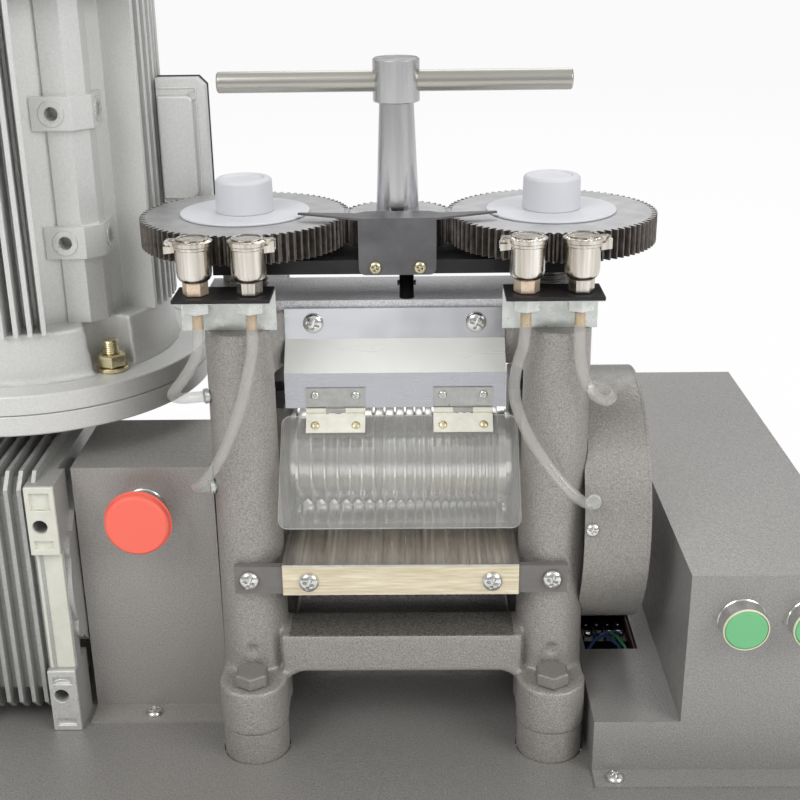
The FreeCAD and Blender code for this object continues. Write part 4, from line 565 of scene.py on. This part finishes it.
# ---------------------------------------------------------------- cross recessed screws
def pan_heads(name, seats, body, look="screw"):
    """Domed screw heads with a cross cut in each; seats are (place, out, radius)."""
    heads, crosses = Shape(), Shape()
    for place, out, radius in seats:
        dome = [(-0.3, 0.0), (-0.3, radius), (0.12 * radius, radius), (0.3 * radius, 0.93 * radius),
                (0.44 * radius, 0.76 * radius), (0.54 * radius, 0.5 * radius),
                (0.58 * radius, 0.22 * radius), (0.59 * radius, 0.0)]
        heads.lathe(dome, place, out, 40)
        out = Vector(out).normalized()
        slant = Vector((0.31, 0.17, 0.93)) if abs(out.z) < 0.8 else Vector((0.9, 0.3, 0))
        across = out.cross(slant).normalized()
        other = out.cross(across)
        foot = Vector(place) + out * 0.24 * radius
        for along, wide in ((across, other), (other, across)):
            corners = [foot + along * a * 0.56 * radius + wide * b * 0.12 * radius
                       for a, b in ((-1, -1), (1, -1), (1, 1), (-1, 1))]
            crosses.prism(corners, out * radius)
    crossed = crosses.plain("crosses")
    union = crossed.modifiers.new("union", "REMESH")
    union.mode = "VOXEL"
    union.voxel_size = 0.12 * MM
    obj = carved(heads.plain("heads"), baked(crossed, "cutters"), name)
    return settle(obj, look, body, 0.0)


# head radii of the screw sizes
LARGE, PANEL, CLAMP, HINGE, COVER = 6.2, 5.7, 4.2, 2.6, 3.7
SHEET, BRACKET_SHEET, BRACKET_HALF = 1.5, 2.5, 27.0
BRACKETS = (low("oil_brackets", X, BRACKET_HALF), high("oil_brackets", X, BRACKET_HALF))
BRACKET_FOOT = low("oil_brackets", Z)

front, up = Vector(TO_FRONT), Vector(TO_TOP)
guard_face, guard_screw_z = -28.2, 269.45
seats = [((x, guard_face, guard_screw_z), front, LARGE) for x in (-51.2, 46.4)]
bar_z = middle("table_bar", Z)
for side in (-1, 1):
    seats += [((side * 55.0, low("feed_table", Y), bar_z), front, LARGE),
              ((side * 91.0, low("table_bar", Y), bar_z), front, LARGE)]
sheet_top = low("control_box", Z, SHEET)
seats += [((-164.5, y, sheet_top), up, PANEL) for y in (-49.25, 49.25)]
for x in (128.8, 251.2):
    seats += [((x, y, sheet_top), up, PANEL) for y in (-118.3, 241.3)]
seats += [((x, -52.0, BRACKET_FOOT + BRACKET_SHEET), up, PANEL) for x in BRACKETS]
seats.append(((114.0, -80.9, 156.57), Vector((0, -0.9903, 0.1392)), CLAMP))
large_screws = pan_heads("pan_screw_heads", seats, "mill")
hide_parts("pan_screws")

KNUCKLE_R, LEAN = 1.7, math.radians(44.0)
HINGE_Y, HINGE_Z = (high("hinge_lower_leaves", axis, KNUCKLE_R) for axis in (Y, Z))
LEAF_FACE, LEAF_SCREW = 0.6, 9.42
upper_seats, lower_seats = [], []
for x in (-50.4, -26.0, 26.0, 50.4):
    upper_seats.append(((x, HINGE_Y + LEAF_FACE, HINGE_Z + LEAF_SCREW), front, HINGE))
    lower_seats.append(((x, HINGE_Y + LEAF_FACE * math.cos(LEAN) - LEAF_SCREW * math.sin(LEAN),
                         HINGE_Z - LEAF_FACE * math.sin(LEAN) - LEAF_SCREW * math.cos(LEAN)),
                        Vector((0, -math.cos(LEAN), math.sin(LEAN))), HINGE))
pan_heads("upper_hinge_screws", upper_seats, "mill")
pan_heads("lower_hinge_screws", lower_seats, "visor_set", "zinc")
COVER_FACE, COVER_SCREW_X, COVER_SCREW_Z = 2.02, 13.0, 306.15
cover_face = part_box("pointer_cover")[0][1] / MM + COVER_FACE
cover_seats = [((x, cover_face, COVER_SCREW_Z), front, COVER) for x in (-COVER_SCREW_X, COVER_SCREW_X)]
pan_heads("cover_screws", cover_seats, "bridge", "zinc")

# painted highlight: a bright rod laid along the table's front bend rounds it off and stands in for the light
# the bend catches
bend_y, bend_z = low("feed_table", Y, 0.51), high("feed_table", Z, 0.5)
bend_ends = low("feed_table", X, 0.2), high("feed_table", X, 0.2)
table_highlight_rod = Shape()
table_highlight_rod.tube([(x, bend_y, bend_z) for x in (bend_ends[0], 0.0, bend_ends[1])], 0.75, 12)
table_highlight_rod.piece("table_bend_highlight", "screw", "mill", "stainless", 0.0)


# ---------------------------------------------------------------- oil cups, brackets, fittings
LID_R = 11.0
# place across the mill, and the side that each cup's hinge is on
CUPS = ((high("oil_lid_1", X, LID_R), -1), (low("oil_lid_2", X, LID_R), 1),
        (high("oil_lid_3", X, LID_R), -1), (low("oil_lid_4", X, LID_R), 1))
CUP_Y = middle("oil_lid_1", Y)
SHELF_TOP, SHELF_UNDER, LINING = high("oil_brackets", Z), 300.9, 0.5
SHELF_FRONT, SHELF_BACK = low("oil_brackets", Y), -64.5

shelves, uprights = Shape(), Shape()
for x in BRACKETS:
    full = (x - BRACKET_HALF, x + BRACKET_HALF)
    shelves.block(full, (SHELF_FRONT, SHELF_BACK), (SHELF_UNDER, SHELF_TOP))
    uprights.block(full, (SHELF_BACK, SHELF_BACK + BRACKET_SHEET), (BRACKET_FOOT, SHELF_UNDER - 0.1))
    uprights.block((full[0] + 0.2, full[1] - 0.2), (SHELF_FRONT + 0.2, SHELF_BACK + 0.1),
                   (SHELF_UNDER - LINING, SHELF_UNDER))
    uprights.block((x - 14.0, x + 14.0), (-62.1, high("oil_brackets", Y)),
                   (BRACKET_FOOT, BRACKET_FOOT + BRACKET_SHEET))
shelves.piece("bracket_shelves", "black", "mill", "black_steel", 0.35, ("oil_brackets",))
uprights.piece("bracket_uprights", "zinc_plate", "mill", "black_steel", 0.3)

PIN_OUT, PIN_Z, LUG_FOOT = 13.2, 332.6, 326.8
barrels, reflection_tinted_hexes, hexes, stems, lugs = Shape(), Shape(), Shape(), Shape(), Shape()
for x, side in CUPS:
    place = (x, CUP_Y, SHELF_TOP)
    barrels.lathe([(8.0, 4.0), (8.0, 7.4), (9.2, 8.6), (10.6, 9.4), (13.0, 9.75), (26.0, 9.75),
                   (26.4, 10.4), (28.0, 10.4), (28.0, 8.7), (11.0, 8.7), (11.0, 4.0)], place, TO_TOP)
    # painted reflection: the cups hinged on their left get warm tinted hexagons
    (reflection_tinted_hexes if side < 0 else hexes).hexagon(place, TO_TOP, 12.6, 8.0, turn=30.0)
    stems.lathe([(-10.4, 0.0), (-10.4, 4.3), (0.4, 4.3), (0.4, 0.0)], place, TO_TOP, 24)
    pin_x = x + side * PIN_OUT
    left, right = sorted((x + side * 9.2, pin_x + side * 2.1))
    centre_x = (left + right) / 2
    outline = [(left, LUG_FOOT), (right, LUG_FOOT + 0.8), (right, LUG_FOOT + 6.6),
               (centre_x + side, LUG_FOOT + 7.2), (centre_x - side, LUG_FOOT + 4.2),
               (left, LUG_FOOT + 4.2)][::side]
    for y in (-84.2, -77.6):
        lugs.prism([(px, y, pz) for px, pz in outline], (0, 1.7, 0))
    lugs.lathe([(0, 0.0), (0, 0.9), (9.2, 0.9), (9.2, 0.0)], (pin_x, -84.6, PIN_Z), TO_BACK, 16)
barrels.piece("cup_barrels", "nickel", "mill", "nickel", 0.15, ("oil_cups",))
hexes.piece("cup_hexagons", "nickel", "mill", "nickel", 0.25)
reflection_tinted_hexes.piece("cup_hexagons_painted_reflection", "nickel_painted_warm_reflection", "mill", "nickel", 0.25)
for index, (x, side) in enumerate(CUPS):
    rim = Shape()
    rim.lathe([(0, 7.2), (0, 9.0), (0.6, 8.7), (0.6, 7.5)], (x, CUP_Y, 334.45), TO_TOP, 48)
    rim.piece("cup_lid_rim_%d" % (index + 1), "nickel", "cup_lid_%d" % (index + 1), "nickel", 0.0)
stems.piece("cup_stems", "brass", "mill", "nickel", 0.0)
lugs.piece("cup_hinge_lugs", "nickel", "mill", "nickel", 0.25)

NUT_FOOT, RING_PITCH = low("oil_cups", Z), 2.1
nuts, barbs = Shape(), Shape()
for x, side in CUPS:
    place = (x, CUP_Y, NUT_FOOT)
    nuts.hexagon(place, TO_TOP, 14.0, 8.0)
    nuts.lathe([(7.6, 4.6), (7.6, 8.6), (8.0, 8.6), (8.0, 4.6)], place, TO_TOP, 32)
    rings = [(-9.5, 0.0), (-9.5, 2.7)]
    for i in range(4):
        rings += [(-9.0 + RING_PITCH * i, 3.2), (-7.4 + RING_PITCH * i, 2.7)]
    barbs.lathe(rings + [(0.2, 2.7), (0.2, 0.0)], place, TO_TOP, 24)
# where each hose goes into the mill, and the way its fitting points
turn = math.radians(20.0)
PORTS = (((-110.9, -63.8, 237.0), (-math.cos(turn), -math.sin(turn), 0)),
         ((-111.4, -64.0, 179.0), (-math.cos(turn), -math.sin(turn), 0)),
         ((110.9, -63.8, 240.0), (math.cos(turn), -math.sin(turn), 0)),
         ((114.3, -76.6, 173.1), (0, -math.cos(turn), math.sin(turn))))
for place, out in PORTS:
    nuts.lathe([(-2.0, 0.0), (-2.0, 3.0), (0.0, 3.0), (0.0, 4.4), (2.6, 4.4), (2.6, 0.0)], place, out, 24)
nuts.piece("fitting_nuts", "zinc_plate", "mill", "nickel", 0.2, ("oil_fittings",))
barbs.piece("brass_barbs", "brass", "mill", "brass", 0.0)


# ---------------------------------------------------------------- hoses
# points in metres from the barb under each cup to the port, and the hose's length without its barb
ROUTES = [
    [(-0.1110, -0.0800, 0.2830), (-0.1110, -0.0800, 0.2735), (-0.1146, -0.0816, 0.2636),
     (-0.1204, -0.0826, 0.2550), (-0.1264, -0.0818, 0.2476), (-0.1298, -0.0771, 0.2418),
     (-0.1262, -0.0708, 0.2380), (-0.1177, -0.0663, 0.2370), (-0.1134, -0.0647, 0.2370)],
    [(-0.0810, -0.0800, 0.2830), (-0.0810, -0.0800, 0.2735), (-0.0828, -0.0826, 0.2630),
     (-0.0854, -0.0852, 0.2520), (-0.0886, -0.0872, 0.2404), (-0.0926, -0.0884, 0.2288),
     (-0.0974, -0.0888, 0.2174), (-0.1030, -0.0884, 0.2064), (-0.1086, -0.0866, 0.1974),
     (-0.1136, -0.0834, 0.1908), (-0.1178, -0.0792, 0.1866), (-0.1208, -0.0742, 0.1834),
     (-0.1210, -0.0700, 0.1806), (-0.1183, -0.0665, 0.1790), (-0.1140, -0.0649, 0.1790)],
    [(0.0715, -0.0800, 0.2830), (0.0715, -0.0800, 0.2735), (0.0676, -0.0820, 0.2640),
     (0.0652, -0.0844, 0.2520), (0.0662, -0.0864, 0.2394), (0.0706, -0.0880, 0.2270),
     (0.0770, -0.0892, 0.2150), (0.0846, -0.0906, 0.2036), (0.0930, -0.0922, 0.1930),
     (0.1016, -0.0934, 0.1840), (0.1084, -0.0918, 0.1788), (0.1128, -0.0878, 0.1768),
     (0.1143, -0.0837, 0.1757), (0.1143, -0.0794, 0.1741)],
    [(0.1015, -0.0800, 0.2830), (0.1015, -0.0800, 0.2735), (0.1024, -0.0814, 0.2626),
     (0.1052, -0.0828, 0.2516), (0.1102, -0.0832, 0.2434), (0.1162, -0.0816, 0.2386),
     (0.1210, -0.0784, 0.2380), (0.1225, -0.0731, 0.2386), (0.1202, -0.0683, 0.2396),
     (0.1177, -0.0663, 0.2400), (0.1134, -0.0647, 0.2400)],
]
HOSE_LENGTHS = (0.0696, 0.1288, 0.1354, 0.0732)
HOSE_RADIUS, BARB = 0.00325, 0.0085


def hose_piece(index, points):
    """Clear oil hose on one smooth curve, pushed up over its barb to the nut."""
    name = "clear_hose_%d" % (index + 1)
    curve = bpy.data.curves.new(name, "CURVE")
    curve.dimensions = "3D"
    curve.bevel_depth = HOSE_RADIUS
    curve.bevel_resolution = 6
    curve.use_fill_caps = True
    line = curve.splines.new("NURBS")
    line.points.add(len(points) - 1)
    for point, place in zip(line.points, points):
        point.co = tuple(place) + (1.0,)
    line.points[0].co.z += BARB
    line.order_u = 3
    line.use_endpoint_u = True
    line.resolution_u = 8
    piece = bpy.data.objects.new(name, curve)
    bpy.context.scene.collection.objects.link(piece)
    curve.materials.append(MATERIALS["hose"])
    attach(piece, "mill")
    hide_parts("oil_hose_%d" % (index + 1))


for index, (route, length) in enumerate(zip(ROUTES, HOSE_LENGTHS)):
    hose_piece(index, route)


# ---------------------------------------------------------------- motor
MOTOR = Vector((middle("reducer_housing", X), middle("fan_cowl", Y), 0.0))
PAD_HEIGHTS, FRONT_PAD, SIDE_PAD = (311.2, 389.7), (45.5, 7.0), (68.0, 29.5)
bosses = Shape()
for z in PAD_HEIGHTS:
    for side in (-1, 1):
        for (away, y), out in ((FRONT_PAD, TO_FRONT), (SIDE_PAD, (side, 0, 0))):
            bosses.lathe([(-0.5, 4.2), (-0.5, 7.8), (0.5, 7.8), (0.7, 7.4), (0.7, 5.2), (0.2, 4.9),
                          (0.2, 4.2)], (MOTOR.x + side * away, y, z), out, 48)
bosses.piece("motor_pad_bosses", "alloy_cut", "mill", "alloy", 0.0)

# junction box: lid with a rib and a raised panel, gasket and corner screw
LID_X = low("terminal_box", X), high("terminal_box", X)
LID_Z = low("terminal_box", Z, 0.8), high("terminal_box", Z, 0.8)
LID_Y = low("terminal_box", Y, 3.0)
lid = Shape()
lid_outline = [(LID_X[0], LID_Z[0]), (LID_X[1] - 1.5, LID_Z[0]), (LID_X[1], LID_Z[0] + 1.5),
               (LID_X[1], LID_Z[1] - 5.0), (LID_X[1] - 5.0, LID_Z[1]), (LID_X[0], LID_Z[1])]
lid.prism([(x, LID_Y, z) for x, z in lid_outline], (0, 10.0, 0))
rib_out, rib_in = 5.3, 6.5
rib = [(LID_X[0] + 0.5, LID_Z[1] - rib_in), (LID_X[1] - rib_in, LID_Z[1] - rib_in),
       (LID_X[1] - rib_in, LID_Z[0] + 6.0), (LID_X[1] - rib_out, LID_Z[0] + 6.0),
       (LID_X[1] - rib_out, LID_Z[1] - rib_out), (LID_X[0] + 0.5, LID_Z[1] - rib_out)]
lid.prism([(x, LID_Y - 0.8, z) for x, z in rib], (0, 1.0, 0))
lid.piece("terminal_lid", "alloy", "mill", "alloy", 0.9, ("terminal_box",))

raised = [(LID_X[0] + 0.5, LID_Z[0] + 12.0), (LID_X[1] - 11.0, LID_Z[0] + 12.0),
          (LID_X[1] - 8.0, LID_Z[0] + 15.0), (LID_X[1] - 8.0, LID_Z[1] - 13.5),
          (LID_X[1] - 11.0, LID_Z[1] - 10.5), (LID_X[0] + 0.5, LID_Z[1] - 10.5)]
panel = Shape()
panel.prism([(x, LID_Y - 3.0, z) for x, z in raised], (0, 3.4, 0))
soft_panel = panel.piece("terminal_lid_panel", "alloy", "mill", "alloy", 2.8)
soft_panel.modifiers["bevel"].segments = 5

gasket_outline = [(LID_X[0], LID_Z[0] - 0.8), (LID_X[1] + 0.6, LID_Z[0] - 0.8),
                  (LID_X[1] + 0.6, LID_Z[1] - 4.5), (LID_X[1] - 4.5, LID_Z[1] + 0.8),
                  (LID_X[0], LID_Z[1] + 0.8)]
gasket = Shape()
gasket.prism([(x, LID_Y + 10.0, z) for x, z in gasket_outline], (0, 2.0, 0))
gasket.piece("terminal_gasket", "gasket", "mill", "alloy", 0.3)
corner = Shape()
corner.lathe([(0, 0.0), (0, 2.6), (1.6, 2.3), (1.6, 1.0), (0.9, 0.9), (0.9, 0.0)],
             (-130.0, LID_Y, 392.6), TO_FRONT, 24)
corner.piece("terminal_lid_screw", "alloy_cut", "mill", "alloy", 0.0)

# two flange discs with a seam between them
FLANGE_Z, SEAM_Z, TOP_Z, BELL_TOP = low("motor_flanges", Z), 215.5, 228.2, low("motor_body", Z, 0.2)
FLANGE_R, HOLLOW_R = high("motor_flanges", X) - MOTOR.x, 40.0
centre = (MOTOR.x, MOTOR.y, 0.0)
discs = Shape()
discs.lathe([(FLANGE_Z, HOLLOW_R), (FLANGE_Z, FLANGE_R - 1.0), (FLANGE_Z + 1.0, FLANGE_R),
             (SEAM_Z - 0.7, FLANGE_R), (SEAM_Z - 0.2, FLANGE_R - 0.6), (SEAM_Z - 0.2, HOLLOW_R)],
            centre, TO_TOP, 160)
discs.lathe([(SEAM_Z + 0.2, HOLLOW_R), (SEAM_Z + 0.2, FLANGE_R - 0.6), (SEAM_Z + 0.7, FLANGE_R),
             (TOP_Z - 0.8, FLANGE_R), (TOP_Z, FLANGE_R - 0.8), (TOP_Z, FLANGE_R - 8.6),
             (TOP_Z - 0.8, FLANGE_R - 9.2), (TOP_Z - 0.8, HOLLOW_R)], centre, TO_TOP, 160)
discs.piece("flange_discs", "alloy", "mill", "alloy", 0.25, ("motor_flanges",))

# bell of the motor's end shield, with a pocket round each stud
STUD_CIRCLE_R, FIRST_STUD, THREAD_PITCH = 92.0, -44.0, 1.4
bell, pockets, bolts = Shape(), Shape(), Shape()
bell.lathe([(TOP_Z - 2.0, HOLLOW_R), (TOP_Z - 2.0, 98.0), (TOP_Z + 3.0, 95.4), (BELL_TOP, 92.0),
            (BELL_TOP, HOLLOW_R)], centre, TO_TOP, 128)
for i in range(4):
    angle = math.radians(FIRST_STUD + 90.0 * i)
    x, y = MOTOR.x + STUD_CIRCLE_R * math.cos(angle), MOTOR.y + STUD_CIRCLE_R * math.sin(angle)
    place = (x, y, TOP_Z)
    pockets.lathe([(-1.0, 0.0), (-1.0, 14.5), (40.0, 16.5), (40.0, 0.0)], place, TO_TOP, 40)
    bolts.lathe([(-0.4, 0.0), (-0.4, 10.2), (1.6, 10.2), (2.0, 9.6), (2.0, 0.0)], place, TO_TOP, 40)
    bolts.hexagon((x, y, TOP_Z + 2.0), TO_TOP, 17.0, 8.4, 1.6, 12.0)
    thread = [(9.0, 0.0), (9.0, 5.2)]
    for ridge in range(6):
        thread += [(10.6 + THREAD_PITCH * ridge, 4.6), (11.2 + THREAD_PITCH * ridge, 5.4)]
    bolts.lathe(thread + [(19.4, 4.4), (19.4, 0.0)], place, TO_TOP, 24)
shell = carved(bell.plain("bell"), pockets.plain("pockets"), "shell")
cast(shell, "motor_bell", "alloy", 1.6, 6)
bolts.piece("flange_studs_and_nuts", "zinc", "mill", "yellow_zinc", 0.2, ("flange_bolts",))


# ---------------------------------------------------------------- reducer lugs
LUG_FACE = low("reducer_housing", Y)
LUG_NEAR, LUG_FAR = 24.5, 42.5
RECESS_FRONT, RECESS_FLOOR = LUG_FACE - 4.0, LUG_FACE - 0.4


def lug_plate(name, look, x, z, hole_z, openings, arch_z):
    """Front plate of a casting lug with its bolt hole, recesses and an arched rib."""
    solid = Shape()
    solid.block(x, (LUG_FACE - 2.4, LUG_FACE + 0.4), z)
    cutter = Shape()
    centre = (x[0] + x[1]) / 2.0
    cutter.lathe([(0, 0.0), (0, 4.6), (8, 4.6), (8, 0.0)], (centre - 1.5, RECESS_FRONT, hole_z), TO_BACK, 32)
    for across, height in openings:
        cutter.block(across, (RECESS_FRONT, RECESS_FLOOR), height)
    plate = carved(solid.plain("lug"), cutter.plain("cutter"), name)
    settle(plate, look, "mill", 0.5)
    arch = Shape()
    points = []
    for i in range(9):
        a = math.radians(20.0 + 140.0 * i / 8)
        points.append((centre - 0.5 + 6.4 * math.cos(a), LUG_FACE - 0.6, arch_z + 3.6 * math.sin(a)))
    arch.tube(points, 0.7, 8)
    arch.piece(name + "_arch", look, "mill", "alloy", 0.0)


for side, word in ((-1, "left"), (1, "right")):
    x = tuple(sorted((MOTOR.x + side * LUG_NEAR, MOTOR.x + side * LUG_FAR)))
    inner = (x[0] + 3.0, x[1] - 3.0)
    lug_plate("upper_lug_" + word, "alloy_cream", x, (134.0, 179.5), 153.0,
              [(inner, (164.0, 175.5)), ((x[0] + 3.0, x[1] - 3.5), (138.0, 143.5))], 161.5)
    lug_plate("lower_lug_" + word, "alloy_cut", x, (6.2, 50.7), 32.3,
              [(inner, (41.0, 46.0)), (inner, (10.0, 15.0))], 40.0)
    strip = Shape()
    strip.block((x[0] + 1.5, x[1] - 1.0), (-61.4, -59.0), (50.6, 134.1))
    strip.block((x[0] + 1.5, x[0] + 3.5), (-62.4, -59.0), (50.6, 134.1))
    strip.piece("lug_strip_" + word, "alloy_cream", "mill", "alloy", 0.5)


# ---------------------------------------------------------------- buttons and terminal strip
SLEEVE = 12.0
PANEL_Y = low("button_collars", Y, 11.0)
bezels, rims = Shape(), Shape()
for button in ("left_push_button", "right_push_button"):
    place = (middle(button, X), PANEL_Y, middle(button, Z))
    bezels.lathe([(0, 12.7), (0, 14.5), (1.0, 14.5), (1.5, 14.0), (10.4, 13.4), (10.4, 12.7)],
                 place, TO_FRONT, 64)
    rims.lathe([(10.2, 12.6), (10.2, 13.4), (11.0, 13.4), (11.6, 13.1), (11.6, 12.6)], place, TO_FRONT, 64)
estop = (middle("estop_button", X), high("button_collars", Y, SLEEVE), middle("estop_button", Z))
bezels.lathe([(0, 9.4), (0, 13.6), (1.0, 13.6), (1.6, 13.0), (14.0, 12.4), (14.0, 9.4)], estop, TO_FRONT, 64)
bezels.lathe([(-SLEEVE, 9.4), (-SLEEVE, 11.0), (0.0, 11.0), (0.0, 9.4)], estop, TO_FRONT, 32)
bezels.piece("button_bezels", "screw", "mill", "screw_steel", 0.15, ("button_collars",))
rims.piece("button_rims", "cream", "mill", "screw_steel", 0.2)

STRIP_X = low("terminal_block", X), high("terminal_block", X, 1.1)
STRIP_TOP, PITCH, ROW = 32.0, 7.4, 12.5
strip_body, strip_screws, leads_blue, leads_green = Shape(), Shape(), Shape(), Shape()
strip_body.block(STRIP_X, (-4.0, 25.0), (low("terminal_block", Z), STRIP_TOP))
for row in (0, 1):
    for i in range(4):
        strip_body.block((123.4 + PITCH * i, 124.4 + PITCH * i), (-2.0 + ROW * row, 9.0 + ROW * row),
                         (STRIP_TOP - 0.2, STRIP_TOP + 3.0))
        spot = (127.6 + PITCH * i, 5.0 + ROW * row, STRIP_TOP)
        strip_screws.lathe([(0, 0.0), (0, 2.6), (1.2, 2.3), (1.6, 1.4), (1.6, 0.0)], spot, TO_TOP, 20)
        strip_screws.block((spot[0] - 2.4, spot[0] + 2.4), (spot[1] + 2.9, spot[1] + 4.9),
                           (STRIP_TOP, STRIP_TOP + 0.8))
strip_body.piece("terminal_strip", "black_plastic", "mill", "black_plastic", 0.3, ("terminal_block",))
strip_screws.piece("terminal_screws", "screw", "mill", "screw_steel", 0.0)
leads_blue.tube([(149.0, 2.0, 34.0), (144.0, -2.0, 38.0), (137.0, -6.0, 39.0), (130.0, -11.0, 37.5),
                 (125.0, -16.0, 33.0), (122.0, -20.0, 26.0)], 1.2)
leads_blue.tube([(131.0, 2.0, 34.0), (135.0, -3.0, 37.0), (140.0, -7.0, 37.0), (146.0, -11.0, 33.0),
                 (150.0, -15.0, 26.0)], 1.2)
leads_green.tube([(138.5, 2.0, 34.0), (141.0, -4.0, 38.5), (145.0, -9.5, 39.0), (149.6, -15.5, 35.0),
                  (152.4, -20.0, 28.0)], 1.2)
strip_wall = Shape()
strip_wall.block((153.6, 155.0), (-28.0, 27.0), (16.0, 40.2))
strip_wall.piece("terminal_cover_wall", "dark_red", "mill", "black_plastic", 0.2)
leads_blue.piece("blue_lead", "blue_wire", "mill", "black_plastic", 0.0)
leads_green.piece("green_lead", "green_wire", "mill", "black_plastic", 0.0)


# ---------------------------------------------------------------- stage
FLOOR_HALF, FLOOR_BELOW = 6.0, 0.0006
FLOOR_WHITE_SHARE, ROOM_LIGHT = 0.9, 0.68
WHITE, ROOM_LOW = (1, 1, 1, 1), (0.42, 0.42, 0.43, 1)
# name, place and size in metres, power in watts
LAMPS = (("key", (-1.3, -1.6, 2.0), 1.3, 26.0), ("fill", (1.6, -1.2, 1.4), 1.2, 21.0),
         ("rim", (0.3, 1.8, 1.9), 1.4, 12.0))
LAMP_TARGET = Vector((-0.03, 0, 0.15))
CAMERA_PLACE = (0.011, -0.740, 0.494)
CAMERA_TILT = tuple(math.radians(v) for v in (21.0776, -0.8673, -0.7596))
FOCAL_PIXELS, PICTURE_PIXELS, SENSOR = 1242.09, 800.0, 36.0


def build_floor(scene):
    """Pale floor that looks white to the camera and keeps the mill's shadow."""
    half = FLOOR_HALF
    mesh = bpy.data.meshes.new("floor")
    mesh.from_pydata([(-half, -half, 0), (half, -half, 0), (half, half * 2, 0), (-half, half * 2, 0)],
                     [], [(0, 1, 2, 3)])
    floor = bpy.data.objects.new("floor", mesh)
    floor.location.z = -FLOOR_BELOW
    scene.collection.objects.link(floor)
    mat = bpy.data.materials.new("floor")
    mat.use_nodes = True
    tree = mat.node_tree
    shader = tree.nodes["Principled BSDF"]
    shader.inputs["Base Color"].default_value = (0.9, 0.9, 0.9, 1)
    shader.inputs["Roughness"].default_value = 0.9
    glow = tree.nodes.new("ShaderNodeEmission")
    glow.inputs["Color"].default_value = WHITE
    glow.inputs["Strength"].default_value = 1.0
    path = tree.nodes.new("ShaderNodeLightPath")
    share = tree.nodes.new("ShaderNodeMath")
    share.operation = "MULTIPLY"
    share.inputs[1].default_value = FLOOR_WHITE_SHARE
    mix = tree.nodes.new("ShaderNodeMixShader")
    tree.links.new(path.outputs["Is Camera Ray"], share.inputs[0])
    tree.links.new(share.outputs[0], mix.inputs[0])
    tree.links.new(shader.outputs[0], mix.inputs[1])
    tree.links.new(glow.outputs[0], mix.inputs[2])
    tree.links.new(mix.outputs[0], tree.nodes["Material Output"].inputs["Surface"])
    floor.data.materials.append(mat)


def build_room(scene):
    """Soft light that is brighter from above; the camera sees it white."""
    world = bpy.data.worlds.new("studio")
    scene.world = world
    world.use_nodes = True
    tree = world.node_tree
    sky = tree.nodes["Background"]
    place = tree.nodes.new("ShaderNodeTexCoord")
    split = tree.nodes.new("ShaderNodeSeparateXYZ")
    tree.links.new(place.outputs["Generated"], split.inputs[0])
    ramp = tree.nodes.new("ShaderNodeValToRGB")
    ramp.color_ramp.elements[0].position = 0.0
    ramp.color_ramp.elements[0].color = ROOM_LOW
    ramp.color_ramp.elements[1].position = 0.75
    ramp.color_ramp.elements[1].color = WHITE
    tree.links.new(split.outputs["Z"], ramp.inputs[0])
    tree.links.new(ramp.outputs[0], sky.inputs["Color"])
    sky.inputs["Strength"].default_value = ROOM_LIGHT
    white = tree.nodes.new("ShaderNodeBackground")
    white.inputs["Color"].default_value = WHITE
    white.inputs["Strength"].default_value = 1.0
    path = tree.nodes.new("ShaderNodeLightPath")
    mix = tree.nodes.new("ShaderNodeMixShader")
    tree.links.new(path.outputs["Is Camera Ray"], mix.inputs[0])
    tree.links.new(sky.outputs[0], mix.inputs[1])
    tree.links.new(white.outputs[0], mix.inputs[2])
    tree.links.new(mix.outputs[0], tree.nodes["World Output"].inputs["Surface"])


def build_lamps(scene):
    """Three large soft lamps, all turned to the middle of the mill."""
    for name, place, size, power in LAMPS:
        data = bpy.data.lights.new(name, "AREA")
        data.size = size
        data.energy = power
        lamp = bpy.data.objects.new(name, data)
        lamp.location = place
        lamp.rotation_euler = (LAMP_TARGET - Vector(place)).to_track_quat("-Z", "Y").to_euler()
        scene.collection.objects.link(lamp)


def build_camera(scene):
    """Camera fitted to the photograph: its place, its tilt and its focal length."""
    pitch, yaw, roll = CAMERA_TILT
    level = math.cos(pitch)
    forward = Vector((math.sin(yaw) * level, math.cos(yaw) * level, -math.sin(pitch)))
    right = Vector((math.cos(yaw), -math.sin(yaw), 0))
    up = right.cross(forward)
    rolled_right = right * math.cos(roll) + up * math.sin(roll)
    rolled_up = up * math.cos(roll) - right * math.sin(roll)
    data = bpy.data.cameras.new("camera")
    data.sensor_fit = "HORIZONTAL"
    data.sensor_width = SENSOR
    data.lens = FOCAL_PIXELS / PICTURE_PIXELS * SENSOR
    data.clip_start = 0.01
    camera = bpy.data.objects.new("camera", data)
    turn = Matrix((rolled_right, rolled_up, -forward)).transposed().to_4x4()
    camera.matrix_world = Matrix.Translation(CAMERA_PLACE) @ turn
    scene.collection.objects.link(camera)
    scene.camera = camera


stage = bpy.context.scene
build_floor(stage)
build_room(stage)
build_lamps(stage)
build_camera(stage)
stage.view_settings.view_transform = "Standard"
